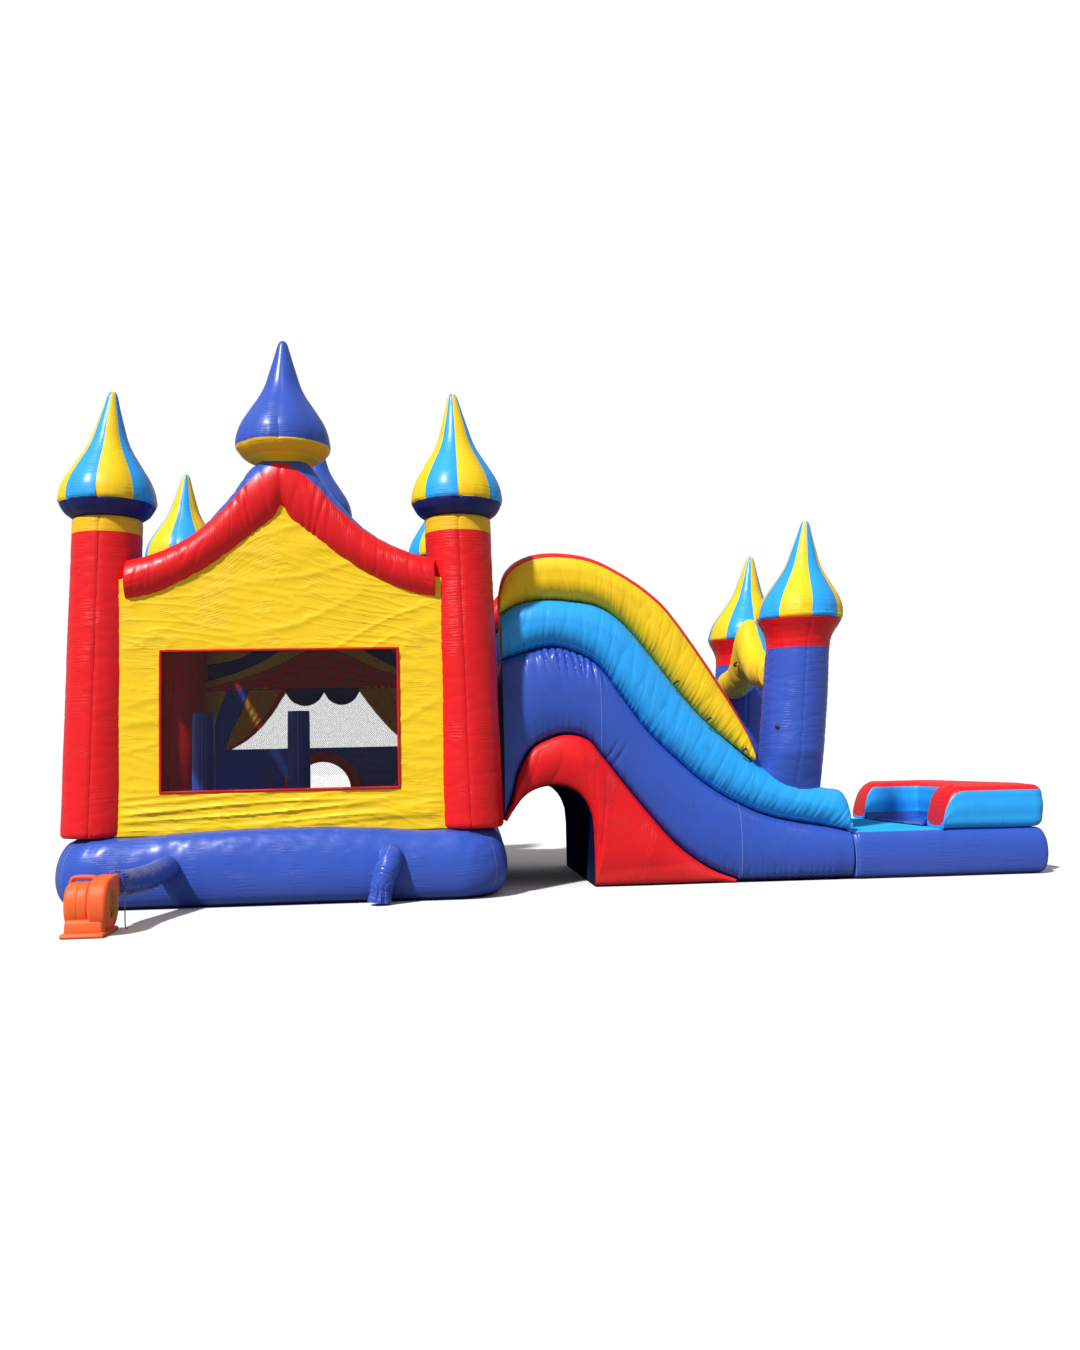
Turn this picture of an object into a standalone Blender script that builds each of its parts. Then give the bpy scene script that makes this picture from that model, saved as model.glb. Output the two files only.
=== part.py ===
"""Inflatable bounce house with an attached slide, splash pool and blower.

Metres, +Z up. The origin is the centre of the square base's underside, on the ground.
+X runs from the bounce house down the slide to the pool, and -Y is the front, with the
big window, the two fabric tubes and the blower. Inflated chambers are thick skins, open
where one chamber feeds air to the next.
"""

import math

import bmesh
import bpy
from mathutils import Matrix, Vector

# Driving dimensions
GAP = 0.002  # between pieces that touch
SKIN = 0.015  # wall of a hollow inflated chamber
SHEET = 0.012  # thickness of a single sheet of vinyl or net

BASE_HALF = 1.98
BASE_TOP = 0.62
BASE_EDGE = 0.10
FLOOR_HALF = 1.40
FLOOR_TOP = 0.68

TOWER_R = 0.31
TOWER_FOOT = (1.67, 1.58)
TOWER_HEAD = (1.60, 1.52)
REAR_HEAD = (1.52, 1.52)
TOWER_TOP = 3.50

PANEL_PLANE = 1.79  # the wall sheets stand near the towers' outer side
ARCH_PLANE = 1.68
GABLE_PLANE = 1.60  # the middle of each gable dome
WALL_END = 1.50
ARCH_R = 0.20
ARCH_LINE = [(0, 3.73), (0.22, 3.63), (0.44, 3.42), (0.76, 3.16), (1.10, 2.98), (WALL_END, 2.88)]
BEAM_Z = 3.05
WINDOW = (-1.074, 1.035, 1.004, 2.268)
SIDE_WINDOW = (-0.95, 0.95, 1.00, 2.286)
DOOR_CENTRE = 0.04
DOOR_HALF = 0.33
DOOR_TOP = 1.26

PLATFORM_Z = 2.12
RAMP_HALF = 0.80
RAMP_FOOT_X = 0.80
RAMP_HEAD_X = 1.26
RAMP_END_X = 1.98
PASSAGE_TOP = 2.78
PILLAR_R = 0.12
PILLAR_Y = 0.30
PILLAR_TOP = 1.80

SLIDE_X = 2.005
SLIDE_HALF = 1.30
LANE_HALF = 0.80
LANE_END_X = 5.40
LANE_LINE = [
    (SLIDE_X, 2.19), (2.43, 2.315), (2.715, 2.27), (2.955, 2.13), (3.14, 1.88),
    (3.42, 1.49), (3.71, 1.195), (3.99, 0.95), (4.28, 0.77), (4.67, 0.61), (LANE_END_X, 0.48),
]
TIER_LINE = [
    (SLIDE_X, 2.65), (2.20, 2.75), (2.44, 2.786), (2.70, 2.77), (2.98, 2.71), (3.22, 2.54),
    (3.46, 2.25), (3.71, 1.92), (4.01, 1.57), (4.47, 1.17), (4.80, 0.99), (5.20, 0.88),
    (LANE_END_X - 0.03, 0.78),
]
CREST_LINE = [
    (2.01, 2.83), (2.06, 3.00), (2.18, 3.13), (2.36, 3.215), (2.60, 3.233), (2.90, 3.19),
    (3.19, 3.06), (3.48, 2.86), (3.72, 2.61), (4.15, 1.967), (4.40, 1.48), (4.47, 1.24),
]
TUNNEL_RIM = [
    (SLIDE_X, 0.79), (2.11, 1.09), (2.26, 1.32), (2.455, 1.43), (2.65, 1.466), (2.84, 1.405),
    (2.98, 1.24), (3.17, 0.99), (3.40, 0.70), (3.68, 0.38), (3.97, 0.16), (4.26, 0.03),
]
TUNNEL_MOUTH = [
    (2.03, 0.72), (2.20, 0.877), (2.35, 0.955), (2.54, 0.97), (2.70, 0.91), (2.82, 0.785),
    (2.87, 0.60), (2.87, GAP),
]

END_TOWER_X = 4.86  # at the height of LEAN_FROM, above which the towers lean outwards
END_TOWER_Y = 1.05
END_TOWER_R = 0.315
END_TOWER_TOP = 2.26
END_COLLAR = 2.56
LEAN_FROM = 1.0
LEAN = 0.10
END_ARCH_X = 4.80
END_ARCH_R = 0.175
END_ARCH_LINE = [(0, 2.55), (0.16, 2.47), (0.32, 2.30), (0.54, 2.20), (0.80, 2.16), (0.90, 2.15)]
POOL_END_X = 7.39
POOL_WALL_X = 6.32
POOL_TOP = 0.46
POOL_WALL_TOP = 0.87
POOL_WALL_W = 0.44

BLOWER_Y = -3.42
BLOWER_Z = 0.225
SCROLL_R = 0.195
COVER_R = 0.170

RED = (0.78, 0.02, 0.02)
YELLOW = (0.95, 0.60, 0.02)
ROYAL = (0.05, 0.15, 0.60)
SKY = (0.06, 0.40, 0.88)
BLACK = (0.02, 0.02, 0.02)
ORANGE = (0.90, 0.16, 0.01)
STEEL = (0.60, 0.60, 0.62)
GREY = (0.25, 0.25, 0.27)


def clear_scene():
    for old in list(bpy.data.objects):
        bpy.data.objects.remove(old, do_unlink=True)


def make_collection(name, hidden=False):
    collection = bpy.data.collections.new(name)
    bpy.context.scene.collection.children.link(collection)
    collection.hide_render = hidden
    return collection


clear_scene()
PARTS = make_collection("inflatable_bounce_house")
CUTTERS = make_collection("cutters", hidden=True)


def material(name, colour, roughness, metallic):
    made = bpy.data.materials.new(name)
    made.use_nodes = True
    shader = made.node_tree.nodes["Principled BSDF"]
    shader.inputs["Base Color"].default_value = (*colour, 1.0)
    shader.inputs["Roughness"].default_value = roughness
    shader.inputs["Metallic"].default_value = metallic
    return made


def finish(obj, name, colour, roughness=0.35, metallic=0.0):
    """Names the piece, gives it its own material and puts it in the object's collection."""
    obj.name = name
    obj.data.name = name
    obj.data.materials.clear()
    obj.data.materials.append(material(name, colour, roughness, metallic))
    for collection in list(obj.users_collection):
        collection.objects.unlink(obj)
    PARTS.objects.link(obj)
    return obj


def link_new(name, data):
    obj = bpy.data.objects.new(name, data)
    PARTS.objects.link(obj)
    return obj


def to_mesh(obj):
    """The object as a plain mesh with its modifiers applied and its loose caps welded."""
    graph = bpy.context.evaluated_depsgraph_get()
    mesh = bpy.data.meshes.new_from_object(obj.evaluated_get(graph))
    work = bmesh.new()
    work.from_mesh(mesh)
    bmesh.ops.remove_doubles(work, verts=work.verts, dist=1e-5)
    bmesh.ops.recalc_face_normals(work, faces=work.faces)
    work.to_mesh(mesh)
    work.free()
    made = link_new(obj.name + "_mesh", mesh)
    made.matrix_world = obj.matrix_world.copy()
    bpy.data.objects.remove(obj, do_unlink=True)
    return made


def boolean(obj, other, operation):
    """Cuts, joins or intersects obj with other, which goes to the cutters."""
    for collection in list(other.users_collection):
        collection.objects.unlink(other)
    CUTTERS.objects.link(other)
    other.hide_render = True
    other.display_type = "WIRE"
    step = obj.modifiers.new(operation.lower(), "BOOLEAN")
    step.operation = operation
    step.solver = "EXACT"
    step.object = other
    bpy.context.view_layer.update()
    return obj


def cut(obj, *others):
    for other in others:
        boolean(obj, other, "DIFFERENCE")
    return obj


def join(obj, *others):
    for other in others:
        boolean(obj, other, "UNION")
    return obj


def block(low, high, bevel=0.0, segments=2):
    """A box between two corners, with rounded edges."""
    bpy.ops.mesh.primitive_cube_add(size=1.0)
    obj = bpy.context.object
    size = Vector(high) - Vector(low)
    obj.data.transform(Matrix.Diagonal((*size, 1.0)))
    obj.location = (Vector(high) + Vector(low)) / 2
    if bevel:
        edge = obj.modifiers.new("round", "BEVEL")
        edge.width = bevel
        edge.segments = segments
    bpy.context.view_layer.update()
    return obj


def cylinder(centre, radius, length, axis="Z", sides=24):
    bpy.ops.mesh.primitive_cylinder_add(vertices=sides, radius=radius, depth=length)
    obj = bpy.context.object
    turn = {"X": Matrix.Rotation(math.pi / 2, 4, "Y"), "Y": Matrix.Rotation(math.pi / 2, 4, "X")}
    obj.data.transform(turn.get(axis, Matrix.Identity(4)))
    obj.location = centre
    bpy.context.view_layer.update()
    return obj


def column(foot, head, low, high, radius, sides=24):
    """A cylinder whose top is shifted sideways, so that it leans from foot to head."""
    obj = cylinder((foot[0], foot[1], (low + high) / 2), radius, high - low, sides=sides)
    shift = Vector((head[0] - foot[0], head[1] - foot[1], 0.0))
    for vertex in obj.data.vertices:
        if vertex.co.z > 0:
            vertex.co += shift
    return obj


def add_skin(obj):
    """Gives an open surface the thickness of a chamber's wall, inwards."""
    skin = obj.modifiers.new("skin", "SOLIDIFY")
    skin.thickness = SKIN
    skin.offset = -1.0
    skin.use_even_offset = True
    bpy.context.view_layer.update()
    return obj


def turned(profile, centre, sides=20):
    """A surface of revolution about a vertical axis. The profile runs from top to bottom."""
    mesh = bpy.data.meshes.new("profile")
    points = [(radius, 0.0, z) for radius, z in profile]
    mesh.from_pydata(points, [(i, i + 1) for i in range(len(points) - 1)], [])
    obj = link_new("turned", mesh)
    obj.location = (centre[0], centre[1], 0.0)
    screw = obj.modifiers.new("turn", "SCREW")
    screw.axis = "Z"
    screw.steps = sides
    screw.render_steps = sides
    screw.use_merge_vertices = True
    screw.merge_threshold = 0.00005
    bpy.context.view_layer.update()
    return to_mesh(obj)


def smooth(points, steps=2):
    """A Catmull-Rom curve through the points, with its ends kept."""
    ends = [points[0], *points, points[-1]]
    path = []
    for a, b, c, d in zip(ends, ends[1:], ends[2:], ends[3:]):
        for step in range(steps):
            t = step / steps
            path.append(tuple(
                0.5 * (2 * q + (r - p) * t + (2 * p - 5 * q + 4 * r - s) * t * t
                       + (3 * q - p - 3 * r + s) * t ** 3)
                for p, q, r, s in zip(a, b, c, d)
            ))
    path.append(tuple(points[-1]))
    return path


def offset(line, distance):
    """The line moved to its left by distance, in its own plane."""
    moved = []
    for i, point in enumerate(line):
        before = line[max(i - 1, 0)]
        after = line[min(i + 1, len(line) - 1)]
        run = Vector(after) - Vector(before)
        run.normalize()
        moved.append((point[0] - run.y * distance, point[1] + run.x * distance))
    return moved


def slab(outlines, low, high, plane="XZ"):
    """Closed outlines filled and extruded: across Y from low to high, or across X for plane YZ.
    The first outline is the edge and the others are holes in it."""
    data = bpy.data.curves.new("slab", "CURVE")
    data.dimensions = "2D"
    data.fill_mode = "BOTH"
    data.extrude = (high - low) / 2
    for outline in outlines:
        spline = data.splines.new("POLY")
        spline.points.add(len(outline) - 1)
        for point, (across, up) in zip(spline.points, outline):
            point.co = (across, up, 0.0, 1.0)
        spline.use_cyclic_u = True
    obj = link_new("slab", data)
    stand = Matrix.Rotation(math.pi / 2, 4, "X")
    if plane == "XZ":
        obj.matrix_world = Matrix.Translation((0, (low + high) / 2, 0)) @ stand
    else:
        turn = Matrix.Rotation(math.pi / 2, 4, "Z")
        obj.matrix_world = Matrix.Translation(((low + high) / 2, 0, 0)) @ turn @ stand
    bpy.context.view_layer.update()
    obj = to_mesh(obj)
    obj.data.transform(obj.matrix_world)
    obj.matrix_world = Matrix.Identity(4)
    bpy.context.view_layer.update()
    return obj


def pipe(points, radius, sides=12, closed=False, taper=None, ends=True):
    """A round tube along points, as a welded mesh. taper scales the radius at each point."""
    data = bpy.data.curves.new("pipe", "CURVE")
    data.dimensions = "3D"
    data.bevel_depth = radius
    data.bevel_resolution = sides // 4 - 1 if sides >= 8 else 0
    data.use_fill_caps = ends and not closed
    spline = data.splines.new("POLY")
    spline.points.add(len(points) - 1)
    for i, (point, place) in enumerate(zip(spline.points, points)):
        point.co = (*place, 1.0)
        point.radius = taper[i] if taper else 1.0
    spline.use_cyclic_u = closed
    obj = link_new("pipe", data)
    bpy.context.view_layer.update()
    return to_mesh(obj)


def hollow(obj, *open_directions):
    """Takes off the flat ends that face the given ways and gives the rest a skin inwards."""
    obj = to_mesh(obj)
    work = bmesh.new()
    work.from_mesh(obj.data)
    for direction in open_directions:
        way = Vector(direction)
        reach = max((vertex.co.dot(way) for vertex in work.verts))
        ends = [
            face for face in work.faces
            if face.normal.dot(way) > 0.99 and abs(face.calc_center_median().dot(way) - reach) < 0.005
        ]
        bmesh.ops.delete(work, geom=ends, context="FACES")
    work.to_mesh(obj.data)
    work.free()
    return add_skin(obj)


def onion(radius, foot, belly, tip, tip_r=0.035):
    """Profile of an onion dome, top to bottom: a round tip, a hollow neck and a full belly."""
    height = tip - belly
    neck = [(0.0, 0.0), (0.55, 0.03), (1.0, 0.10)]
    profile = [(tip_r * share, tip - 0.35 * height * drop) for share, drop in neck]
    rise = [(0.17, 0.80), (0.34, 0.57), (0.52, 0.40), (0.73, 0.25), (0.90, 0.12), (1.0, 0.0)]
    profile += [(radius * share, belly + height * (level - 0.02 * level)) for share, level in rise]
    profile += foot + [(0.0, foot[-1][1])]
    return profile


def tower_ends(side_x, side_y):
    """Where a corner tower's axis starts on the base and where it ends under its dome."""
    head_x, head_y = REAR_HEAD if side_y > 0 else TOWER_HEAD
    return (side_x * TOWER_FOOT[0], side_y * TOWER_FOOT[1]), (side_x * head_x, side_y * head_y)


def tower_at(side_x, side_y, z):
    """Where a corner tower's axis stands at a height."""
    foot, head = tower_ends(side_x, side_y)
    start = BASE_TOP + GAP
    share = (z - start) / (TOWER_TOP - start)
    return tuple(a + (b - a) * share for a, b in zip(foot, head))


def tower_cutters(extra, low=0.3, high=3.6):
    """The four corner towers, a little fat, to cut pieces that meet them."""
    made = []
    for side in ((-1, -1), (-1, 1), (1, -1), (1, 1)):
        made.append(column(tower_at(*side, low), tower_at(*side, high), low, high, TOWER_R + extra))
    return made


def arch_points(y, steps=2):
    """The arch's centre line from the left tower over the peak to the right tower."""
    right = smooth(ARCH_LINE, steps)
    left = [(-x, z) for x, z in reversed(right[1:])]
    return [(x, y, z) for x, z in left + right]


def make_base():
    base = block((-BASE_HALF, -BASE_HALF, 0), (BASE_HALF, BASE_HALF, BASE_TOP), BASE_EDGE)
    room = block(
        (-BASE_HALF + SKIN, -BASE_HALF + SKIN, SKIN),
        (BASE_HALF - SKIN, BASE_HALF - SKIN, BASE_TOP - SKIN), BASE_EDGE - SKIN,
    )
    inlet = cylinder((-0.97, -BASE_HALF, 0.36), 0.07, 0.2, "Y", 16)
    finish(cut(base, room, inlet), "base_cushion", ROYAL)
    floor = block(
        (-FLOOR_HALF, -FLOOR_HALF, BASE_TOP + GAP), (FLOOR_HALF, FLOOR_HALF, FLOOR_TOP), 0.02, 1,
    )
    finish(floor, "bounce_floor", ROYAL)


def make_towers():
    tip = 4.71
    collar = [(0.43, 3.64), (0.31, 3.50 + GAP)]
    profile = onion(0.43, collar, 3.69, tip)
    for side_x, across in ((-1, "left"), (1, "right")):
        for side_y, along in ((-1, "front"), (1, "rear")):
            foot, head = tower_ends(side_x, side_y)
            tower = column(foot, head, BASE_TOP + GAP, TOWER_TOP, TOWER_R)
            name = f"{along}_{across}"
            finish(hollow(tower, (0, 0, -1)), f"tower_{name}", RED)
            finish(turned(profile, head), f"tower_dome_{name}", SKY)


def make_arches_and_beams():
    for side, name in ((-1, "front"), (1, "rear")):
        line = arch_points(side * ARCH_PLANE)
        arch = add_skin(pipe(line, ARCH_R, ends=False))
        finish(cut(arch, *tower_cutters(GAP)), f"gable_arch_{name}", RED)
        foot = [(0.425, 4.13), (0.33, 3.96), (0.31, 3.80)]
        dome = turned(onion(0.43, foot, 4.19, 5.176), (0, side * GABLE_PLANE))
        finish(cut(dome, pipe(line, ARCH_R + GAP)), f"gable_dome_{name}", ROYAL)
    for side, name in ((-1, "left"), (1, "right")):
        x = side * ARCH_PLANE
        beam = add_skin(pipe([(x, -WALL_END, BEAM_Z), (x, WALL_END, BEAM_Z)], ARCH_R, ends=False))
        finish(cut(beam, *tower_cutters(GAP)), f"side_beam_{name}", RED)


def make_roof():
    inner = ARCH_PLANE - ARCH_R - GAP
    line = [(x, z) for x, _, z in arch_points(0) if abs(x) < inner - 0.02]
    under = offset(line, -SHEET)
    roof = slab([under + line[::-1]], -inner, inner)
    finish(cut(roof, *tower_cutters(GAP)), "roof_sheet", ROYAL, 0.5)


def rectangle(left, right, low, high):
    return [(left, low), (right, low), (right, high), (left, high)]


def grow(box, amount):
    return (box[0] - amount, box[1] + amount, box[2] - amount, box[3] + amount)


def tent_opening(spread=0.0):
    """The rear window: a wide sill, sides that sweep up like tied curtains, two scallops."""
    left = smooth([(-1.02, 1.43), (-0.78, 1.58), (-0.55, 1.85), (-0.385, 2.085)])
    scallops = [(-0.19, 1.96), (0.065, 2.10), (0.33, 1.96)]
    right = smooth([(0.483, 2.094), (0.66, 1.85), (0.88, 1.60), (1.10, 1.43)])
    outline = left + scallops + right
    if not spread:
        return outline
    middle = Vector((0.04, 1.70))
    return [tuple(middle + (Vector(p) - middle) * (1 - spread)) for p in outline]


def doorway(half, top, floor):
    """A round-headed doorway, clockwise from its left foot."""
    spring = top - half
    head = [
        (DOOR_CENTRE - half * math.cos(a), spring + half * math.sin(a))
        for a in (math.pi * i / 10 for i in range(11))
    ]
    return [(DOOR_CENTRE - half, floor), *head, (DOOR_CENTRE + half, floor)]


def make_walls():
    low = BASE_TOP + GAP
    top = [(x, z) for x, _, z in arch_points(0, 1)]
    for side, name in ((-1, "front"), (1, "rear")):
        y = side * PANEL_PLANE
        outline = [(-WALL_END, low), (WALL_END, low), *top[::-1]]
        if side < 0:
            holes = [rectangle(*WINDOW)]
            net = [rectangle(*grow(WINDOW, -GAP))]
        else:
            door = doorway(DOOR_HALF, DOOR_TOP, low)
            outline = [(-WALL_END, low), *door, (WALL_END, low), *top[::-1]]
            holes = [tent_opening()]
            net = [tent_opening(0.01)]
        panel = slab([outline, *holes], y - SHEET / 2, y + SHEET / 2)
        arch = pipe(arch_points(side * ARCH_PLANE), ARCH_R + 3 * GAP)
        finish(cut(panel, arch, *tower_cutters(GAP)), f"wall_panel_{name}", YELLOW)
        mesh = slab(net, y - SHEET / 4, y + SHEET / 4)
        finish(mesh, f"window_net_{name}", BLACK, 0.8)
    for side, name in ((-1, "left"), (1, "right")):
        x = side * PANEL_PLANE
        outline = rectangle(-WALL_END, WALL_END, low, BEAM_Z)
        holes = [rectangle(*SIDE_WINDOW)]
        if side > 0:
            passage = RAMP_HALF + 0.02
            outline = [
                (-WALL_END, low), (-passage, low), (-passage, PASSAGE_TOP), (passage, PASSAGE_TOP),
                (passage, low), (WALL_END, low), (WALL_END, BEAM_Z), (-WALL_END, BEAM_Z),
            ]
            holes = []
        panel = slab([outline, *holes], x - SHEET / 2, x + SHEET / 2, "YZ")
        inner = side * ARCH_PLANE
        reach = WALL_END + 0.1
        beam = pipe([(inner, -reach, BEAM_Z), (inner, reach, BEAM_Z)], ARCH_R + 3 * GAP)
        finish(cut(panel, beam, *tower_cutters(GAP)), f"wall_panel_{name}", YELLOW)
    x = -PANEL_PLANE
    mesh = slab([rectangle(*grow(SIDE_WINDOW, -GAP))], x - SHEET / 4, x + SHEET / 4, "YZ")
    finish(mesh, "window_net_left", BLACK, 0.8)


def make_inside():
    for x, name in ((-1.075, "left"), (-0.08, "middle")):
        foot = FLOOR_TOP + GAP
        middle = (x, PILLAR_Y, (foot + PILLAR_TOP) / 2)
        pillar = cylinder(middle, PILLAR_R, PILLAR_TOP - foot, sides=16)
        finish(pillar, f"popup_pillar_{name}", ROYAL)
    low = FLOOR_TOP + GAP + 0.7 * SKIN
    profile = [
        (RAMP_FOOT_X, low), (RAMP_END_X, low), (RAMP_END_X, PLATFORM_Z), (RAMP_HEAD_X, PLATFORM_Z),
    ]
    ramp = slab([profile], -RAMP_HALF, RAMP_HALF)
    finish(hollow(ramp, (0, 0, -1)), "climbing_ramp", ROYAL)
    step = block((-0.60, BASE_HALF + GAP, 0), (0.60, 2.75, 0.33), 0.08)
    finish(step, "entrance_step", ROYAL)


def make_slide():
    lane = smooth(LANE_LINE)
    rim = smooth(TUNNEL_RIM)
    foot_x = rim[-1][0]
    body = [*lane[::-1], *rim, (foot_x + 0.05, 0.0), (LANE_END_X, 0.0)]
    body = slab([body[::-1]], -SLIDE_HALF + 0.02, SLIDE_HALF - 0.02)
    trim = block((SLIDE_X - 1, -2, -1), (SLIDE_X, 2, 4))
    finish(cut(hollow(body, (-1, 0, 0)), trim), "slide_body", ROYAL)

    arch = [*offset(rim, -0.004), (foot_x, GAP), *TUNNEL_MOUTH[::-1]]
    arch[0] = (SLIDE_X, arch[0][1])
    arch = slab([arch], -SLIDE_HALF, SLIDE_HALF)
    finish(hollow(arch, (0, 0, -1)), "tunnel_arch", RED)

    under, over = offset(lane, GAP), offset(lane, 0.03)
    bed_half = LANE_HALF - 2 * GAP
    finish(slab([under + over[::-1]], -bed_half, bed_half), "slide_bed", ROYAL)

    tier, crest = smooth(TIER_LINE), smooth(CREST_LINE)
    tier_end = next(i for i, point in enumerate(tier) if point[0] > 4.44)
    lower = offset(lane, GAP) + [(LANE_END_X, tier[-1][1] - 0.12)] + tier[::-1]
    upper = offset(tier[:tier_end], GAP) + crest[::-1]
    for side, name in ((-1, "near"), (1, "far")):
        span = sorted((side * LANE_HALF, side * SLIDE_HALF))
        tube = hollow(slab([lower], *span), (-1, 0, 0))
        finish(tube, f"slide_wall_lower_{name}", SKY)
        span = sorted((side * (LANE_HALF + 0.02), side * (SLIDE_HALF - 0.05)))
        tube = hollow(slab([upper], *span), (-1, 0, 0))
        finish(tube, f"slide_wall_upper_{name}", YELLOW)


def end_x(z):
    """Where the end towers' axis stands at a height."""
    return END_TOWER_X + LEAN * (z - LEAN_FROM)


def leaned(obj):
    """The upright shape slid outwards, more the higher up."""
    for vertex in obj.data.vertices:
        vertex.co.x += LEAN * (vertex.co.z - LEAN_FROM)
    return obj


def make_end_towers():
    tier, lane = smooth(TIER_LINE), smooth(LANE_LINE)
    profile = [
        (0.0, END_COLLAR), (0.42, END_COLLAR), (0.33, 2.36),
        (END_TOWER_R, END_TOWER_TOP), (END_TOWER_R, 0.80),
    ]
    for side, name in ((-1, "near"), (1, "far")):
        place = (END_TOWER_X, side * END_TOWER_Y)
        span = sorted((side * (LANE_HALF - 0.1), side * (SLIDE_HALF + 0.1)))
        wall = slab([offset(lane, -0.3) + offset(tier, GAP)[::-1]], *span)
        tower = cut(add_skin(leaned(turned(profile, place))), wall)
        finish(tower, f"end_tower_{name}", ROYAL)
        dome = turned(onion(0.42, [(0.40, END_COLLAR + GAP)], 2.62, 3.57), place)
        finish(leaned(dome), f"end_dome_{name}", SKY)
    right = smooth(END_ARCH_LINE)
    left = [(-y, z) for y, z in reversed(right[1:])]
    path = [(END_ARCH_X, y, z) for y, z in left + right]
    low, high = 0.9, 2.9
    guards = [
        column((end_x(low), y), (end_x(high), y), low, high, END_TOWER_R + 0.020, sides=20)
        for y in (-END_TOWER_Y, END_TOWER_Y)
    ]
    finish(cut(pipe(path, END_ARCH_R), *guards), "end_arch", YELLOW)


def make_pool():
    low_x = LANE_END_X + GAP
    base = block((low_x, -SLIDE_HALF, 0), (POOL_END_X, SLIDE_HALF, POOL_TOP), 0.06)
    finish(hollow(base, (-1, 0, 0)), "pool_base", ROYAL)
    low, high = POOL_TOP + GAP, POOL_WALL_TOP
    wall = block((POOL_WALL_X, -SLIDE_HALF, low), (POOL_END_X, SLIDE_HALF, high), 0.09)
    basin = block(
        (POOL_WALL_X - 0.2, -SLIDE_HALF + POOL_WALL_W, low - 0.2),
        (POOL_END_X - POOL_WALL_W, SLIDE_HALF - POOL_WALL_W, high + 0.2), 0.05, 1,
    )
    finish(cut(wall, basin), "pool_wall", SKY)


def make_blower():
    side, back, inner = -1.065, -1.38, -1.215
    centre = (0, BLOWER_Y, BLOWER_Z)

    def drum(radius, low_x, high_x, sides=24):
        return cylinder(((low_x + high_x) / 2, *centre[1:]), radius, high_x - low_x, "X", sides)

    housing = drum(SCROLL_R, inner, side)
    outlet = block((-1.205, -3.42, 0.27), (-1.075, -3.18, 0.418))
    foot = block((back, -3.66, 0), (side - 0.01, -3.20, 0.05), 0.012, 1)
    handle = pipe([
        (-1.355, BLOWER_Y, 0.33), (-1.345, BLOWER_Y, 0.415), (-1.32, BLOWER_Y, 0.425),
        (-1.21, BLOWER_Y, 0.42), (-1.19, BLOWER_Y, 0.395),
    ], 0.014, 8)
    bezel = block((back - 0.012, BLOWER_Y - 0.018, 0.268), (back + 0.005, BLOWER_Y + 0.018, 0.312))
    join(housing, drum(COVER_R, back, inner + 0.01), outlet, foot, handle, bezel)
    wall = 0.008
    pocket = block((back - 0.02, BLOWER_Y - 0.013, 0.272), (back - 0.005, BLOWER_Y + 0.013, 0.308))
    gland_hole = cylinder((back, BLOWER_Y + 0.08, 0.12), 0.009, 0.06, "X", 12)
    cut(
        housing, drum(SCROLL_R - wall, inner + wall, side - wall),
        drum(COVER_R - wall, back + wall, inner + 0.02), drum(0.115, side - 0.03, side + 0.02),
        block((-1.197, -3.35, 0.278), (-1.083, -3.16, 0.41)), pocket, gland_hole,
    )
    finish(housing, "blower_housing", ORANGE, 0.45)

    grille = drum(0.1125, side - 0.006, side - 0.001)
    slots = []
    for row in range(-3, 4):
        y = 0.025 * row
        reach = math.sqrt(0.098 ** 2 - y * y)
        low = (side - 0.02, BLOWER_Y + y - 0.006, BLOWER_Z - reach)
        high = (side + 0.02, BLOWER_Y + y + 0.006, BLOWER_Z + reach)
        slots.append(block(low, high))
    finish(cut(grille, *slots), "inlet_grille", YELLOW, 0.5)

    wheel = drum(0.125, -1.185, -1.181)
    hub = drum(0.025, -1.19, -1.165, 16)
    blades = []
    for i in range(12):
        angle = math.tau * i / 12
        blade = block((-1.184, -0.002, 0.090), (-1.12, 0.002, 0.1225))
        blade.matrix_world = (
            Matrix.Translation(centre) @ Matrix.Rotation(angle, 4, "X")
            @ Matrix.Translation((blade.location.x, 0, blade.location.z))
        )
        blades.append(blade)
    ring = cut(drum(0.125, -1.124, -1.118), drum(0.110, -1.14, -1.10))
    bpy.context.view_layer.update()
    join(wheel, hub, *blades, to_mesh(ring))
    bore = drum(0.009, -1.20, -1.15, 12)
    finish(cut(wheel, bore), "impeller", GREY, 0.5)

    motor = drum(0.070, -1.355, -1.225)
    join(motor, drum(COVER_R - wall - GAP, -1.232, -1.224), drum(0.008, -1.23, -1.17, 12))
    finish(motor, "blower_motor", GREY, 0.5, 0.6)

    half = 0.0115
    rocker = block(
        (back - 0.0150, BLOWER_Y - half, 0.2745), (back - 0.0090, BLOWER_Y + half, 0.3055),
    )
    pivot = Vector((back - 0.0095, BLOWER_Y, 0.290))
    rocker.data.transform(Matrix.Translation(rocker.location - pivot))
    rocker.location = pivot
    rocker.rotation_euler = (0, math.radians(-6), 0)
    finish(rocker, "blower_switch", BLACK, 0.4)

    gland = join(
        cylinder((back, BLOWER_Y + 0.08, 0.12), 0.0086, 0.036, "X", 12),
        cylinder((back - 0.0085, BLOWER_Y + 0.08, 0.12), 0.013, 0.016, "X", 6),
    )
    finish(gland, "cord_gland", BLACK, 0.5)


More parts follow.
